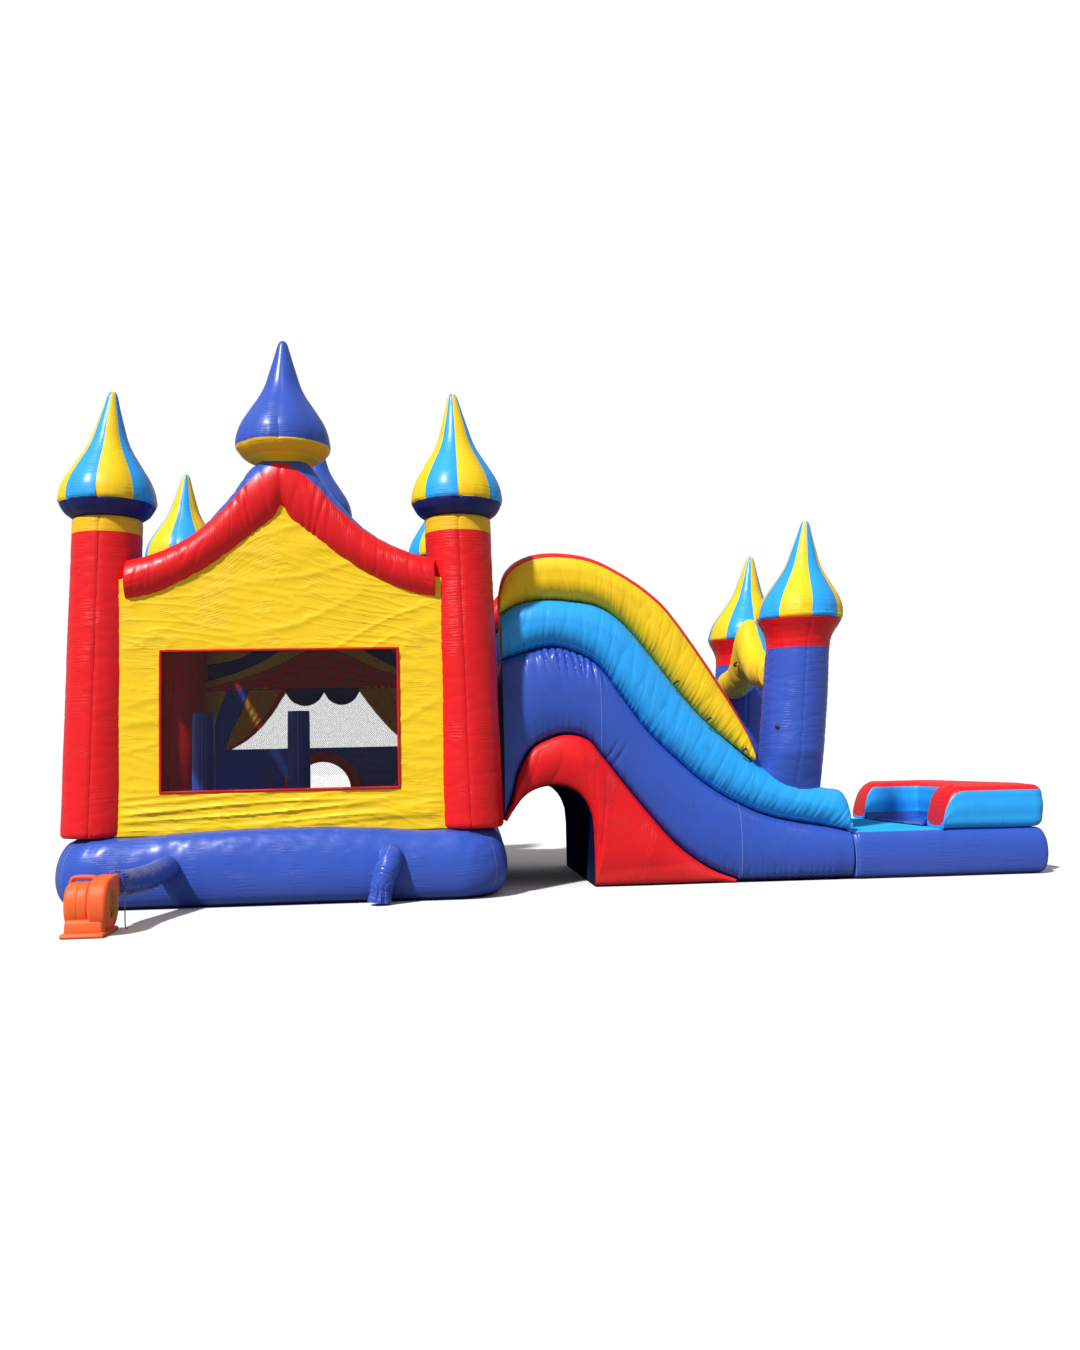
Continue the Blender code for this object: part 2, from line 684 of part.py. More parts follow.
def make_fabric_tubes():
    front = -BASE_HALF - GAP
    route = [
        (-0.97, front, 0.36), (-0.97, front - 0.12, 0.36), (-1.02, -2.45, 0.33), (-1.09, -2.80, 0.32),
        (-1.135, -3.05, 0.34), (-1.14, -3.18 + GAP, 0.344),
    ]
    path = smooth(route)
    path[1] = (route[0][0], path[1][1], route[0][2])
    path[-2] = (route[-1][0], path[-2][1], route[-1][2])
    finish(pipe(path, 0.105), "inflation_tube", ROYAL)
    route = [
        (0.95, front, 0.40), (0.95, front - 0.07, 0.40), (0.935, front - 0.13, 0.35),
        (0.90, front - 0.14, 0.24), (0.87, front - 0.13, 0.12), (0.86, front - 0.13, 0.012),
    ]
    path = smooth(route)
    path[1] = (route[0][0], path[1][1], route[0][2])
    thickness = [1.0 - 0.25 * i / (len(path) - 1) for i in range(len(path))]
    finish(pipe(path, 0.10, taper=thickness), "deflation_tube", ROYAL)


def anchor(name, place, outward):
    """A webbing tab sewn to a side, with a steel ring hanging from the loop at its foot."""
    turn = Matrix.Rotation(math.atan2(outward[0], -outward[1]), 4, "Z")
    frame = Matrix.Translation(place) @ turn
    rise = 0.0075
    tab = block((-0.02, -0.0035, 0.0), (0.02, -0.0005, 0.09))
    loop = cylinder((0, -rise - 0.0005, -0.002), rise, 0.04, "X", 16)
    bore = cylinder((0, -rise - 0.0005, -0.002), 0.0050, 0.06, "X", 16)
    for piece in (tab, loop, bore):
        piece.matrix_world = frame @ piece.matrix_world
    bpy.context.view_layer.update()
    finish(cut(join(tab, loop), bore), f"anchor_tab_{name}", ROYAL, 0.8)
    half, drop = 0.026, 0.050
    straight = 0.018
    points = [(-half, 0, 0.0), (half, 0, 0.0)]
    for step in range(9):
        angle = math.pi * step / 8
        depth = straight + (drop - straight) * math.sin(angle)
        points.append((half * math.cos(angle), 0, -depth))
    ring = pipe(points, 0.0035, 8, closed=True)
    pivot = frame @ Matrix.Translation((0, -rise - 0.0005, -0.002))
    ring.matrix_world = pivot
    finish(ring, f"anchor_ring_{name}", STEEL, 0.3, 1.0)


def make_anchors():
    edge = BASE_HALF
    height = 0.15
    anchor("rear_left", (-1.30, edge, height), (0, 1))
    anchor("rear_right", (1.30, edge, height), (0, 1))
    anchor("left", (-edge, 0.0, height), (-1, 0))
    anchor("pool_end", (POOL_END_X, 0.0, height), (1, 0))


def make_zip():
    face = SLIDE_HALF
    tape = block((5.80, face + 0.0005, 0.19), (6.50, face + 0.0035, 0.24))
    finish(tape, "zip_tape", BLACK, 0.7)
    slider = block((5.82, face + 0.0040, 0.205), (5.85, face + 0.010, 0.225), 0.001, 1)
    pull = block((5.830, face + 0.0085, 0.150), (5.840, face + 0.0105, 0.215))
    finish(join(slider, pull), "zip_slider", STEEL, 0.3, 1.0)


make_base()
make_towers()
make_arches_and_beams()
make_roof()
make_walls()
make_inside()
make_slide()
make_end_towers()
make_pool()
make_blower()
make_fabric_tubes()
make_anchors()
make_zip()
bpy.context.view_layer.update()
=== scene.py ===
# %% [markdown]
# # An inflatable bounce house with a slide and a splash pool
#
# A bounce house is sewn from coated vinyl cloth and held up by the air that a blower pushes in.
# Every part of it is either a chamber, which is full and round, or a single sheet stretched
# between chambers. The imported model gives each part's place and size. This lesson makes the skins:
# it bends grids into chambers, gathers them at their seams and gives them a glossy vinyl.

# %% Load the frame
from math import cos, exp, pi, radians, sin, sqrt, tau

import bpy
from mathutils import Matrix, Vector, noise


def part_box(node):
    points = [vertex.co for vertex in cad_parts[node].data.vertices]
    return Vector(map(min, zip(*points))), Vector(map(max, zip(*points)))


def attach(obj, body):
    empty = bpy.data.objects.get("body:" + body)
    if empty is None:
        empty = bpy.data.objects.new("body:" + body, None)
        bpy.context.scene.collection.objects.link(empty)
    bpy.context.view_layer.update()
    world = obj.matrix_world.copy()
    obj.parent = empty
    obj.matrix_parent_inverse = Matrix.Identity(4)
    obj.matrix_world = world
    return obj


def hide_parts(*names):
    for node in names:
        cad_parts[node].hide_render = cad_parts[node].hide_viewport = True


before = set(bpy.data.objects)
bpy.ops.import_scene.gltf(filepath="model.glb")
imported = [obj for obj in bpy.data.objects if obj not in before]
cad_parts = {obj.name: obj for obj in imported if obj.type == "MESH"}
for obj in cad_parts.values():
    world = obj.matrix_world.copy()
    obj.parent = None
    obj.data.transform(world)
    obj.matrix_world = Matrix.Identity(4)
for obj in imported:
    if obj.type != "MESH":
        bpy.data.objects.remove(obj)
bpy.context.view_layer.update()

# %% [markdown]
# ## Camera, floor and light
#
# The eye stands low and far off, in front of the house and a little to its right. The sun comes
# from the upper left of the front, so the tower's shadow falls on the start of the slide. The
# floor and the world are plain and pale; the world looks white but lights the shade only softly.

# %% Camera
EYE = Vector((1.3, -12.747, 1.21))
YAW, PITCH, ROLL = radians(5.35), radians(4.11), radians(-1.26)

ahead = Vector((sin(YAW) * cos(PITCH), cos(YAW) * cos(PITCH), sin(PITCH)))
level_right = Vector((cos(YAW), -sin(YAW), 0))
level_up = level_right.cross(ahead)
right = level_right * cos(ROLL) + level_up * sin(ROLL)
up = level_up * cos(ROLL) - level_right * sin(ROLL)

bpy.ops.object.select_all(action="DESELECT")
bpy.ops.object.camera_add()
camera = bpy.context.object
camera.matrix_world = Matrix.Translation(EYE) @ Matrix((right, up, -ahead)).transposed().to_4x4()
camera.data.lens = 32.08
camera.data.sensor_width = 36
camera.data.clip_end = 400
bpy.context.scene.camera = camera
print("camera at", tuple(EYE))

# %% Floor, sun and sky
bpy.ops.object.select_all(action="DESELECT")
bpy.ops.mesh.primitive_plane_add(size=300, location=(0, 0, -0.001))
floor = bpy.context.object
floor.name = "studio_floor"

# The floor looks pale but sends little light back up, as the ground around the house does.
ground = bpy.data.materials.new("pale floor")
ground.use_nodes = True
ground_tree = ground.node_tree
looked_at = ground_tree.nodes.new("ShaderNodeLightPath")
tone = ground_tree.nodes.new("ShaderNodeMix")
tone.data_type = "RGBA"
tone.inputs[6].default_value = (0.26, 0.26, 0.26, 1)
tone.inputs[7].default_value = (0.86, 0.86, 0.86, 1)
ground_tree.links.new(looked_at.outputs["Is Camera Ray"], tone.inputs[0])
ground_tree.links.new(tone.outputs[2], ground_tree.nodes["Principled BSDF"].inputs["Base Color"])
ground_tree.nodes["Principled BSDF"].inputs["Roughness"].default_value = 0.9
ground_tree.nodes["Principled BSDF"].inputs["Specular IOR Level"].default_value = 0.0
floor.data.materials.append(ground)

bpy.ops.object.light_add(type="SUN", rotation=(radians(42), 0, radians(-39)))
sun = bpy.context.object
sun.data.energy = 4.2
sun.data.angle = radians(3)
SKY_FILL = 0.36

bpy.context.scene.view_settings.view_transform = "Standard"
world = bpy.data.worlds.new("soft sky")
bpy.context.scene.world = world
world.use_nodes = True
sky_tree = world.node_tree
back = sky_tree.nodes["Background"]
back.inputs["Color"].default_value = (1, 1, 1, 1)
seen = sky_tree.nodes.new("ShaderNodeLightPath")
strength = sky_tree.nodes.new("ShaderNodeMapRange")
strength.inputs["To Min"].default_value = SKY_FILL
strength.inputs["To Max"].default_value = 1.0
sky_tree.links.new(seen.outputs["Is Camera Ray"], strength.inputs["Value"])
sky_tree.links.new(strength.outputs["Result"], back.inputs["Strength"])
print("sun at", sun.data.energy, "and a sky of", SKY_FILL)

# %% [markdown]
# ## Writing shader sums as Python
#
# A material is a graph of small nodes. Long chains of Math nodes are hard to read, so a socket is
# wrapped in a class that knows +, -, * and /. Any other node comes from one method.

# %% Sockets that add up
class Link:
    """An output socket that can stand in a sum."""

    def __init__(self, finish, socket):
        self.finish = finish
        self.socket = socket

    def maths(self, operation, *values, clamp=False):
        sockets = dict(enumerate(values))
        return self.finish.node("ShaderNodeMath", {"operation": operation, "use_clamp": clamp}, sockets)

    def __add__(self, other):
        return self.maths("ADD", self, other)

    def __radd__(self, other):
        return self.maths("ADD", other, self)

    def __sub__(self, other):
        return self.maths("SUBTRACT", self, other)

    def __rsub__(self, other):
        return self.maths("SUBTRACT", other, self)

    def __mul__(self, other):
        return self.maths("MULTIPLY", self, other)

    def __rmul__(self, other):
        return self.maths("MULTIPLY", other, self)

    def __truediv__(self, other):
        return self.maths("DIVIDE", self, other)

    def __pow__(self, other):
        return self.maths("POWER", self, other)

    def __abs__(self):
        return self.maths("ABSOLUTE", self)

    def part(self):
        """What is left of a number past its whole part."""
        return self.maths("FRACT", self)

    def within(self, low, high):
        """1 where the number is below low, 0 above high, and a slope between."""
        return self.finish.node(
            "ShaderNodeMapRange", {"interpolation_type": "SMOOTHSTEP"},
            {"Value": self, "From Min": low, "From Max": high, "To Min": 1.0, "To Max": 0.0},
        )


class Finish:
    """A material, its Principled shader and the calls that fill its node tree."""

    def __init__(self, name, constants):
        self.material = bpy.data.materials.new(name)
        self.material.use_nodes = True
        self.tree = self.material.node_tree
        self.shader = self.tree.nodes["Principled BSDF"]
        for socket, value in constants.items():
            self.shader.inputs[socket].default_value = value

    def node(self, kind, settings=None, sockets=None, output=0):
        made = self.tree.nodes.new(kind)
        for name, value in (settings or {}).items():
            setattr(made, name, value)
        for name, value in (sockets or {}).items():
            if isinstance(value, Link):
                self.tree.links.new(value.socket, made.inputs[name])
            else:
                made.inputs[name].default_value = value
        return Link(self, made.outputs[output])

    def feed(self, socket, value):
        self.tree.links.new(value.socket, self.shader.inputs[socket])

    def where(self):
        return self.node("ShaderNodeTexCoord", output="Object")

    def cloth(self):
        """Metres round the piece and along it, from its own UV map."""
        return self.node("ShaderNodeTexCoord", output="UV")

    def stretch(self, vector, by):
        return self.node("ShaderNodeVectorMath", {"operation": "MULTIPLY"}, {0: vector, 1: by})

    def noise(self, vector, scale, detail=2.0, roughness=0.5):
        sockets = {"Vector": vector, "Scale": scale, "Detail": detail, "Roughness": roughness}
        return self.node("ShaderNodeTexNoise", sockets=sockets)

    def mix(self, factor, first, second):
        sockets = {0: factor, 6: first, 7: second}
        return self.node("ShaderNodeMix", {"data_type": "RGBA"}, sockets, output=2)

    def height(self, vector, axis):
        return self.node("ShaderNodeSeparateXYZ", sockets={0: vector}, output=axis)

    def bump(self, height, distance, strength=1.0):
        sockets = {"Height": height, "Distance": distance, "Strength": strength}
        self.feed("Normal", self.node("ShaderNodeBump", sockets=sockets))


def shade(colour, by):
    """The colour made darker or lighter by a share, ready for a colour socket."""
    return (*[min(part * by, 1.0) for part in colour], 1.0)


print("shader helpers ready")

# %% [markdown]
# ## Coated vinyl
#
# The cloth is a polyester scrim coated with glossy PVC. It is smooth, but never mirror flat: the
# scrim shows as a fine weave, and air pressure leaves short creases across each tube, which catch
# the light as thin lines. Where two cuts are sewn, the thread line is paler and the cloth next to
# it sinks. Each skin below carries its distance to the nearest seam as an attribute, in metres, so
# one material can draw seams of the same true width on every piece. Dust settles near the ground.

# %% Vinyl
DUST = (0.30, 0.26, 0.20)


def vinyl(name, colour, thread, gloss=0.40, crease=1.0, stitch=0.45, shine=0.26, coat=0.12):
    """Glossy coated cloth of one colour, with its seams, creases, weave and a little dust."""
    made = Finish(name, {"Coat Roughness": 0.24, "Specular IOR Level": shine})
    where = made.where()
    cloth = made.cloth()
    seam = made.node("ShaderNodeAttribute", {"attribute_name": "seam"}, output="Fac")
    patches = made.noise(where, 1.7, 3.0)
    fine = made.noise(where, 22.0, 4.0, 0.6)
    lines = made.noise(made.stretch(cloth, (2.2, 34.0, 1.0)), 1.0, 3.0, 0.55)
    ridge = (1.0 - abs(lines * 2.0 - 1.0)) ** 9.0
    rare = made.noise(where, 3.1, 1.0).within(0.62, 0.45)
    wrinkle = ridge * rare
    weave = made.noise(made.stretch(cloth, (420.0, 420.0, 1.0)), 1.0, 0.0)
    stitched = seam.within(0.0018, 0.0045)
    hem = seam.within(0.018, 0.030)
    tone = made.mix(patches, shade(colour, 0.90), shade(colour, 1.07))
    tone = made.mix(fine.within(0.55, 0.30) * 0.10, tone, shade(colour, 0.72))
    tone = made.mix(hem * 0.10, tone, shade(colour, 0.70))
    tone = made.mix(stitched * stitch, tone, (*thread, 1.0))
    low = made.height(where, 2).within(0.02, 0.34)
    tone = made.mix(low * patches * 0.10, tone, (*DUST, 1.0))
    made.feed("Base Color", tone)
    made.feed("Roughness", gloss + (fine - 0.5) * 0.16 + low * 0.12)
    made.feed("Coat Weight", coat - low * (coat * 0.7))
    rise = wrinkle * (0.55 * crease) + weave * 0.03 + hem * 0.10 - stitched * 0.20
    made.bump(rise, 0.0045, 0.75)
    return made.material


RED = vinyl("red vinyl", (0.80, 0.010, 0.014), (0.36, 0.008, 0.008))
YELLOW = vinyl("yellow vinyl", (0.96, 0.62, 0.012), (0.98, 0.82, 0.25), gloss=0.50, coat=0.05)
ROYAL = vinyl("royal blue vinyl", (0.036, 0.095, 0.50), (0.30, 0.42, 0.85), gloss=0.36, coat=0.34)
SKY = vinyl("sky blue vinyl", (0.022, 0.38, 0.92), (0.45, 0.75, 0.95), coat=0.26)
DECK = vinyl("matt sky blue vinyl", (0.030, 0.44, 0.95), (0.45, 0.75, 0.95),
             gloss=0.85, shine=0.0, coat=0.0)
NAVY = vinyl("navy vinyl", (0.010, 0.018, 0.15), (0.02, 0.03, 0.18), gloss=0.48, stitch=0.0)
# Painted shade: the collars under the domes are yellow cloth, given a darker orange yellow for the shade the
# domes cast on them.
COLLAR_PAINTED_SHADE = vinyl("collar yellow vinyl with painted shade", (0.90, 0.50, 0.010), (0.70, 0.38, 0.02), gloss=0.5, stitch=0.0)
# Painted shade: the drapes are yellow cloth, given a darker orange yellow for the shade they hang in.
DRAPE_PAINTED_SHADE = vinyl("drape yellow vinyl with painted shade", (0.82, 0.36, 0.010), (0.70, 0.32, 0.02), gloss=0.55, coat=0.0)
# Painted shade: the tunnel's inside is lined in dark vinyl, made darker still, near black and unglossy, for
# the shade inside the tunnel.
TUNNEL_LINING_PAINTED_SHADE = vinyl("tunnel lining vinyl with painted shade", (0.006, 0.010, 0.05), (0.01, 0.01, 0.05),
              gloss=0.9, crease=0.6, stitch=0.0, shine=0.0, coat=0.0)
print("vinyls:", [m.name for m in (RED, YELLOW, ROYAL, SKY, DECK, NAVY, COLLAR_PAINTED_SHADE, DRAPE_PAINTED_SHADE, TUNNEL_LINING_PAINTED_SHADE)])

# %% [markdown]
# ## From a flat grid to a full chamber
#
# Sewing starts with flat cloth, and so does every skin here: a grid is added, and each of its
# points is moved to its place on the chamber by a function of two shares, one round the chamber and
# one along it. The edges that meet are then merged, so the chamber is closed. The grid's own UV map
# is kept and scaled to metres, so that creases and weave keep their real size.

# %% A skin from a grid
def select_only(piece):
    bpy.ops.object.select_all(action="DESELECT")
    piece.select_set(True)
    bpy.context.view_layer.objects.active = piece


def skin(name, across, along, place, paint, seams_u=(), seams_v=(), closed=True):
    """A grid of across by along faces, moved by place(u, v) and coloured by paint(u, v, point)."""
    bpy.ops.object.select_all(action="DESELECT")
    bpy.ops.mesh.primitive_grid_add(x_subdivisions=across, y_subdivisions=along, size=1)
    piece = bpy.context.object
    piece.name = name
    mesh = piece.data
    mesh.name = name
    shares = [(round((v.co.x + 0.5) * across), round((v.co.y + 0.5) * along)) for v in mesh.vertices]
    spots = {(i, j): Vector(place(i / across, j / along)) for i, j in shares}
    girth = sum((spots[i, along // 2] - spots[i + 1, along // 2]).length for i in range(across))
    length = sum((spots[across // 4, j] - spots[across // 4, j + 1]).length for j in range(along))
    columns = [round(line * across) for line in seams_u]
    rows = [round(line * along) for line in seams_v]
    seam = mesh.attributes.new("seam", "FLOAT", "POINT")
    for vertex, (i, j) in zip(mesh.vertices, shares):
        spot = spots[i, j]
        vertex.co = spot
        reach = [(spot - spots[line, j]).length for line in columns if abs(line - i) < 8]
        reach += [(spot - spots[i, line]).length for line in rows if abs(line - j) < 8]
        seam.data[vertex.index].value = min(reach, default=1.0)
    for loop in mesh.uv_layers.active.data:
        loop.uv = (loop.uv.x * girth, loop.uv.y * length)
    kinds = []
    for face in mesh.polygons:
        corners = [shares[index] for index in face.vertices]
        u = sum(corner[0] for corner in corners) / 4 / across
        v = sum(corner[1] for corner in corners) / 4 / along
        kind = paint(u, v, sum((mesh.vertices[index].co for index in face.vertices), Vector()) / 4)
        if kind not in kinds:
            kinds.append(kind)
            mesh.materials.append(kind)
        face.material_index = kinds.index(kind)
    bpy.ops.object.mode_set(mode="EDIT")
    bpy.ops.mesh.select_all(action="SELECT")
    bpy.ops.mesh.remove_doubles(threshold=0.00002)
    if closed:
        bpy.ops.mesh.normals_make_consistent(inside=False)
    bpy.ops.object.mode_set(mode="OBJECT")
    bpy.ops.object.shade_smooth_by_angle(angle=radians(48))
    print(f"{name}: {len(mesh.polygons)} faces, {girth:.2f} m round, {length:.2f} m long")
    return piece


def open_skin(name, across, along, place, paint, seams_u=(), seams_v=()):
    """A single sheet: a skin whose edges stay open."""
    return skin(name, across, along, place, paint, seams_u, seams_v, closed=False)


def plain(material):
    """A paint that gives every face the same material."""
    return lambda u, v, point: material


def thicken(piece, thickness):
    """Gives a sheet the thickness of its cloth, half to each side."""
    select_only(piece)
    wall = piece.modifiers.new("cloth", "SOLIDIFY")
    wall.thickness = thickness
    wall.offset = 0
    bpy.ops.object.modifier_apply(modifier=wall.name)
    return piece


def belongs(piece, slot, *nodes, body="inflatable", fill=1.0):
    """Rides the piece on its body and hides the nodes it stands for; the slot is not used."""
    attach(piece, body)
    if nodes:
        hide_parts(*nodes)
    return piece


# %% [markdown]
# Three small tools give the shapes: a smooth line through a few points, the height of such a line
# above a place, and a hoop, which is the section of a chamber. Folds come from ridged noise, which
# is smooth nearly everywhere and sharp along its crests, as gathered cloth is.

# %% Lines, hoops and folds
def curve(points, steps=10):
    """Points of a smooth line through the given ones."""
    points = [Vector(point) for point in points]
    ends = [points[0], *points, points[-1]]
    dots = []
    for a, b, c, d in zip(ends, ends[1:], ends[2:], ends[3:]):
        for step in range(steps):
            t = step / steps
            dots.append(
                0.5 * (2 * b + (c - a) * t + (2 * a - 5 * b + 4 * c - d) * t * t
                       + (3 * b - a - 3 * c + d) * t ** 3)
            )
    return dots + [points[-1]]


def walk(dots):
    """A function from a share of the line's length to the point there."""
    reach = [0.0]
    for a, b in zip(dots, dots[1:]):
        reach.append(reach[-1] + (b - a).length)

    def at(share):
        goal = min(max(share, 0.0), 1.0) * reach[-1]
        low, high = 0, len(dots) - 1
        while high - low > 1:
            middle = (low + high) // 2
            if reach[middle] <= goal:
                low = middle
            else:
                high = middle
        span = reach[high] - reach[low]
        return dots[low].lerp(dots[high], (goal - reach[low]) / span if span else 0.0)

    return at


def level(dots):
    """A function from x to the line's height there."""
    def at(x):
        if x <= dots[0].x:
            return dots[0].y
        for a, b in zip(dots, dots[1:]):
            if b.x >= x:
                return a.y + (b.y - a.y) * (x - a.x) / max(b.x - a.x, 1e-9)
        return dots[-1].y

    return at


HOOP_STOPS = (0.0, 0.10, 0.16, 0.36, 0.42, 0.58, 0.64, 0.84, 0.90, 1.0)
FRONT_FOOT, FRONT_TOP, BACK_TOP, BACK_FOOT = 0.16, 0.36, 0.64, 0.84


def hoop(share, wide, high, corner, puff=0.0):
    """A rounded rectangle from the middle of its underside: up the front, over and down the back."""
    corner = min(corner, wide, high)
    part = next(i for i in range(9) if share <= HOOP_STOPS[i + 1] or i == 8)
    t = (share - HOOP_STOPS[part]) / (HOOP_STOPS[part + 1] - HOOP_STOPS[part])
    t = min(max(t, 0.0), 1.0)
    flat_w, flat_h = wide - corner, high - corner
    out = puff * sin(pi * t) ** 2
    if part == 0:
        return -flat_w * t, -high
    if part == 2:
        return -wide - out, flat_h * (2 * t - 1)
    if part == 4:
        return flat_w * (2 * t - 1), high + out
    if part == 6:
        return wide + out, flat_h * (1 - 2 * t)
    if part == 8:
        return flat_w * (1 - t), -high
    sides = {1: (-1, -1, 270), 3: (-1, 1, 180), 5: (1, 1, 90), 7: (1, -1, 0)}
    side, top, start = sides[part]
    angle = radians(start - 90 * t)
    return side * flat_w + corner * cos(angle), top * flat_h + corner * sin(angle)


def folds(*place):
    """0 to 1, sharp along its crests."""
    return max(1 - abs(noise.noise(Vector(place))) * 3.2, 0.0)


def swell(*place):
    """A soft unevenness from -1 to 1."""
    return noise.noise(Vector(place))


def gather(along, away, pitch, depth, reach, seed=0.0):
    """How deep the cloth sinks in the gathers of a seam, away metres from it."""
    fold = folds(along / pitch, seed, away * 1.5) ** 1.5
    return -depth * fold * exp(-((away / reach) ** 2))


def capped(v, cap):
    """How far along the chamber v is between its two end caps, and how full a section is there."""
    along = min(max((v - cap) / (1 - 2 * cap), 0.0), 1.0)
    return along, min(v / cap, (1 - v) / cap, 1.0)


def loaf(name, low, high, y_mid, half, corner, puff, paint, across=100, along=160,
         cap=0.02, shape=None, seams_u=(), seams_v=()):
    """A chamber whose section stands between the lines low and high, both functions of a share."""
    def place(u, v):
        t, size = capped(v, cap)
        foot, head = low(t), high(t)
        middle = (foot + head) / 2
        rise = head - foot
        tall = rise.length / 2
        side, along_rise = hoop(u, half, tall, corner, puff)
        if shape:
            side, along_rise = shape(u, t, side, along_rise, middle, tall)
        spot = middle + rise.normalized() * along_rise * size
        return spot.x, y_mid + side * size, spot.y

    return skin(name, across, along, place, paint, seams_u, seams_v)


def turned(name, profile, axis, paint, sectors=96, rows=120, shape=None, seams_v=(), seam_count=8):
    """A chamber of revolution. Angle 0 faces the front and grows to the right."""
    outline = walk(profile)

    def place(u, v):
        angle = tau * u
        radius, z = outline(v)
        if shape:
            radius, z = shape(angle, v, radius, z)
        x, y = axis(z)
        return x + radius * sin(angle), y - radius * cos(angle), z

    seams = [i / seam_count for i in range(seam_count + 1)] if seam_count else ()
    return skin(name, sectors, rows, place, paint, seams, seams_v)


def tube(name, path, radius, paint, sides=48, rows=140, shape=None, seams_u=()):
    """A round chamber along a path, closed at both ends."""
    line = walk(path)
    cap = 0.03

    def place(u, v):
        t, size = capped(v, cap)
        here = line(t)
        run = (line(min(t + 0.01, 1)) - line(max(t - 0.01, 0))).normalized()
        aside = run.cross(Vector((0, 0, 1)))
        if aside.length < 0.05:
            aside = Vector((1, 0, 0))
        aside.normalize()
        over = aside.cross(run)
        angle = tau * u
        wide = radius(t) * size
        if shape:
            wide += shape(angle, t) * size
        return here + aside * (cos(angle) * wide) + over * (sin(angle) * wide)

    return skin(name, sides, rows, place, paint, seams_u)


print("chamber helpers ready")

# %% [markdown]
# ## The base
#
# The base is a square mattress. Its sides swell out between a tight lower seam and the gathered
# upper seam, and its top rises a little between the towers. A navy strip runs round its foot.

# %% Base cushion
BASE_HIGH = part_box("base_cushion")[1]
BASE_HALF = BASE_HIGH.x
BASE_TOP = BASE_HIGH.z
BASE_SIDE = curve([
    (BASE_HALF - 0.10, 0.004), (BASE_HALF - 0.02, 0.07), (BASE_HALF + 0.018, 0.17),
    (BASE_HALF + 0.028, 0.29), (BASE_HALF + 0.012, 0.42), (BASE_HALF - 0.030, 0.53),
    (BASE_HALF - 0.085, 0.595), (BASE_HALF - 0.17, BASE_TOP),
])
base_outline = walk([Vector((0, 0.004)), *BASE_SIDE, Vector((0, BASE_TOP))])


def base_place(u, v):
    half, z = base_outline(v)
    share = half / BASE_HALF
    side, run = hoop(u, half, half, 0.42 * share + 0.001, 0.045 * share)
    between = max(0.0, 1 - (min(abs(side), abs(run)) / 1.25) ** 2)
    if z > 0.35:
        z += 0.055 * between * min((z - 0.35) / 0.25, 1.0) * min(share * 1.5, 1.0)
    away = abs(half - (BASE_HALF - 0.085)) if z > 0.3 else 9.0
    dip = gather(side - run, away, 0.040, 0.013, 0.11, 3.0) if away < 0.3 else 0.0
    foot = gather(side + run * 1.3, z, 0.05, 0.006, 0.05, 7.0) if z < 0.2 and share > 0.9 else 0.0
    grow = 1 + (dip + foot + 0.004 * swell(side * 2, run * 2, z * 3)) * share / BASE_HALF
    return side * grow, run * grow, z + dip * 0.6


def base_paint(u, v, point):
    return NAVY if point.z < 0.035 else ROYAL


base = skin("base_mattress", 320, 150, base_place, base_paint, (0.13, 0.39, 0.61, 0.87))
belongs(base, "royal_vinyl", "base_cushion")

# %% [markdown]
# ## The bounce floor
#
# The floor that children jump on is a thick mat, sewn through in straight rows so that it stays
# flat. Between two rows the cloth crowns up, and at each row it sinks.

# %% Bounce floor
FLOOR_LOW, FLOOR_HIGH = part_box("bounce_floor")
CHANNELS = 9


def floor_place(u, v):
    half = FLOOR_HIGH.x
    middle = (FLOOR_LOW.z + FLOOR_HIGH.z) / 2
    tall = (FLOOR_HIGH.z - FLOOR_LOW.z) / 2
    t, size = capped(v, 0.02)
    x = -half + 2 * half * t
    side, rise = hoop(u, half, tall, 0.02)
    crown = abs(sin(pi * CHANNELS * (x + half) / (2 * half)))
    if rise > 0:
        rise -= 0.022 * (1 - crown ** 0.6)
    return x, side * max(size, 0.001), middle + rise * size


floor_mat = skin("bounce_mat", 100, 270, floor_place, plain(ROYAL))
belongs(floor_mat, "royal_vinyl", "bounce_floor")

# %% [markdown]
# ## Corner towers and their domes
#
# A tower is four long cuts sewn side by side, so four seams run up it, each in a shallow groove.
# It leans in slightly, as the arches pull its head. The dome is cut in eight gores, sky blue and
# yellow by turns, over a navy bowl: each gore swells between its seams, and its lower end is
# gathered into the bowl.

# %% Tower and dome shapes
TOWER_R = 0.31
COLLAR_Z = 3.36


def grooves(angle, count, depth, width):
    """How far the skin sinks at each of count seams round a chamber."""
    off = abs(((angle * count / tau + 0.5) % 1.0) - 0.5) * tau / count
    return -depth * exp(-((off / width) ** 2))


def tower_axis(box):
    low, high = box
    x, y = (low.x + high.x) / 2, (low.y + high.y) / 2
    head_x = high.x - TOWER_R if x < 0 else low.x + TOWER_R
    lean_x = x - head_x if abs(x - head_x) < 0.2 else 0.0
    lean_y = 0.030 if y > 0 else -0.030

    def at(z):
        share = (z - low.z) / (high.z - low.z)
        return x + lean_x * (1 - 2 * share), y + lean_y * (1 - 2 * share)

    return at


def tower_shape(seed):
    def shape(angle, v, radius, z):
        full = radius / TOWER_R
        sink = grooves(angle, 4, 0.008, 0.045)
        sink += 0.006 * swell(angle * 1.2, z * 1.5, seed)
        sink -= 0.0035 * folds(angle * 0.9, z * 9.0, seed + 5) ** 3
        sink += gather(angle * TOWER_R, z - BASE_TOP, 0.04, 0.010, 0.09, seed)
        return radius + sink * full, z

    return shape


# A tower's top, under its dome, gets the darker collar yellow: painted shade from the dome.
def tower_paint(u, v, point):
    return COLLAR_PAINTED_SHADE if point.z > COLLAR_Z else RED


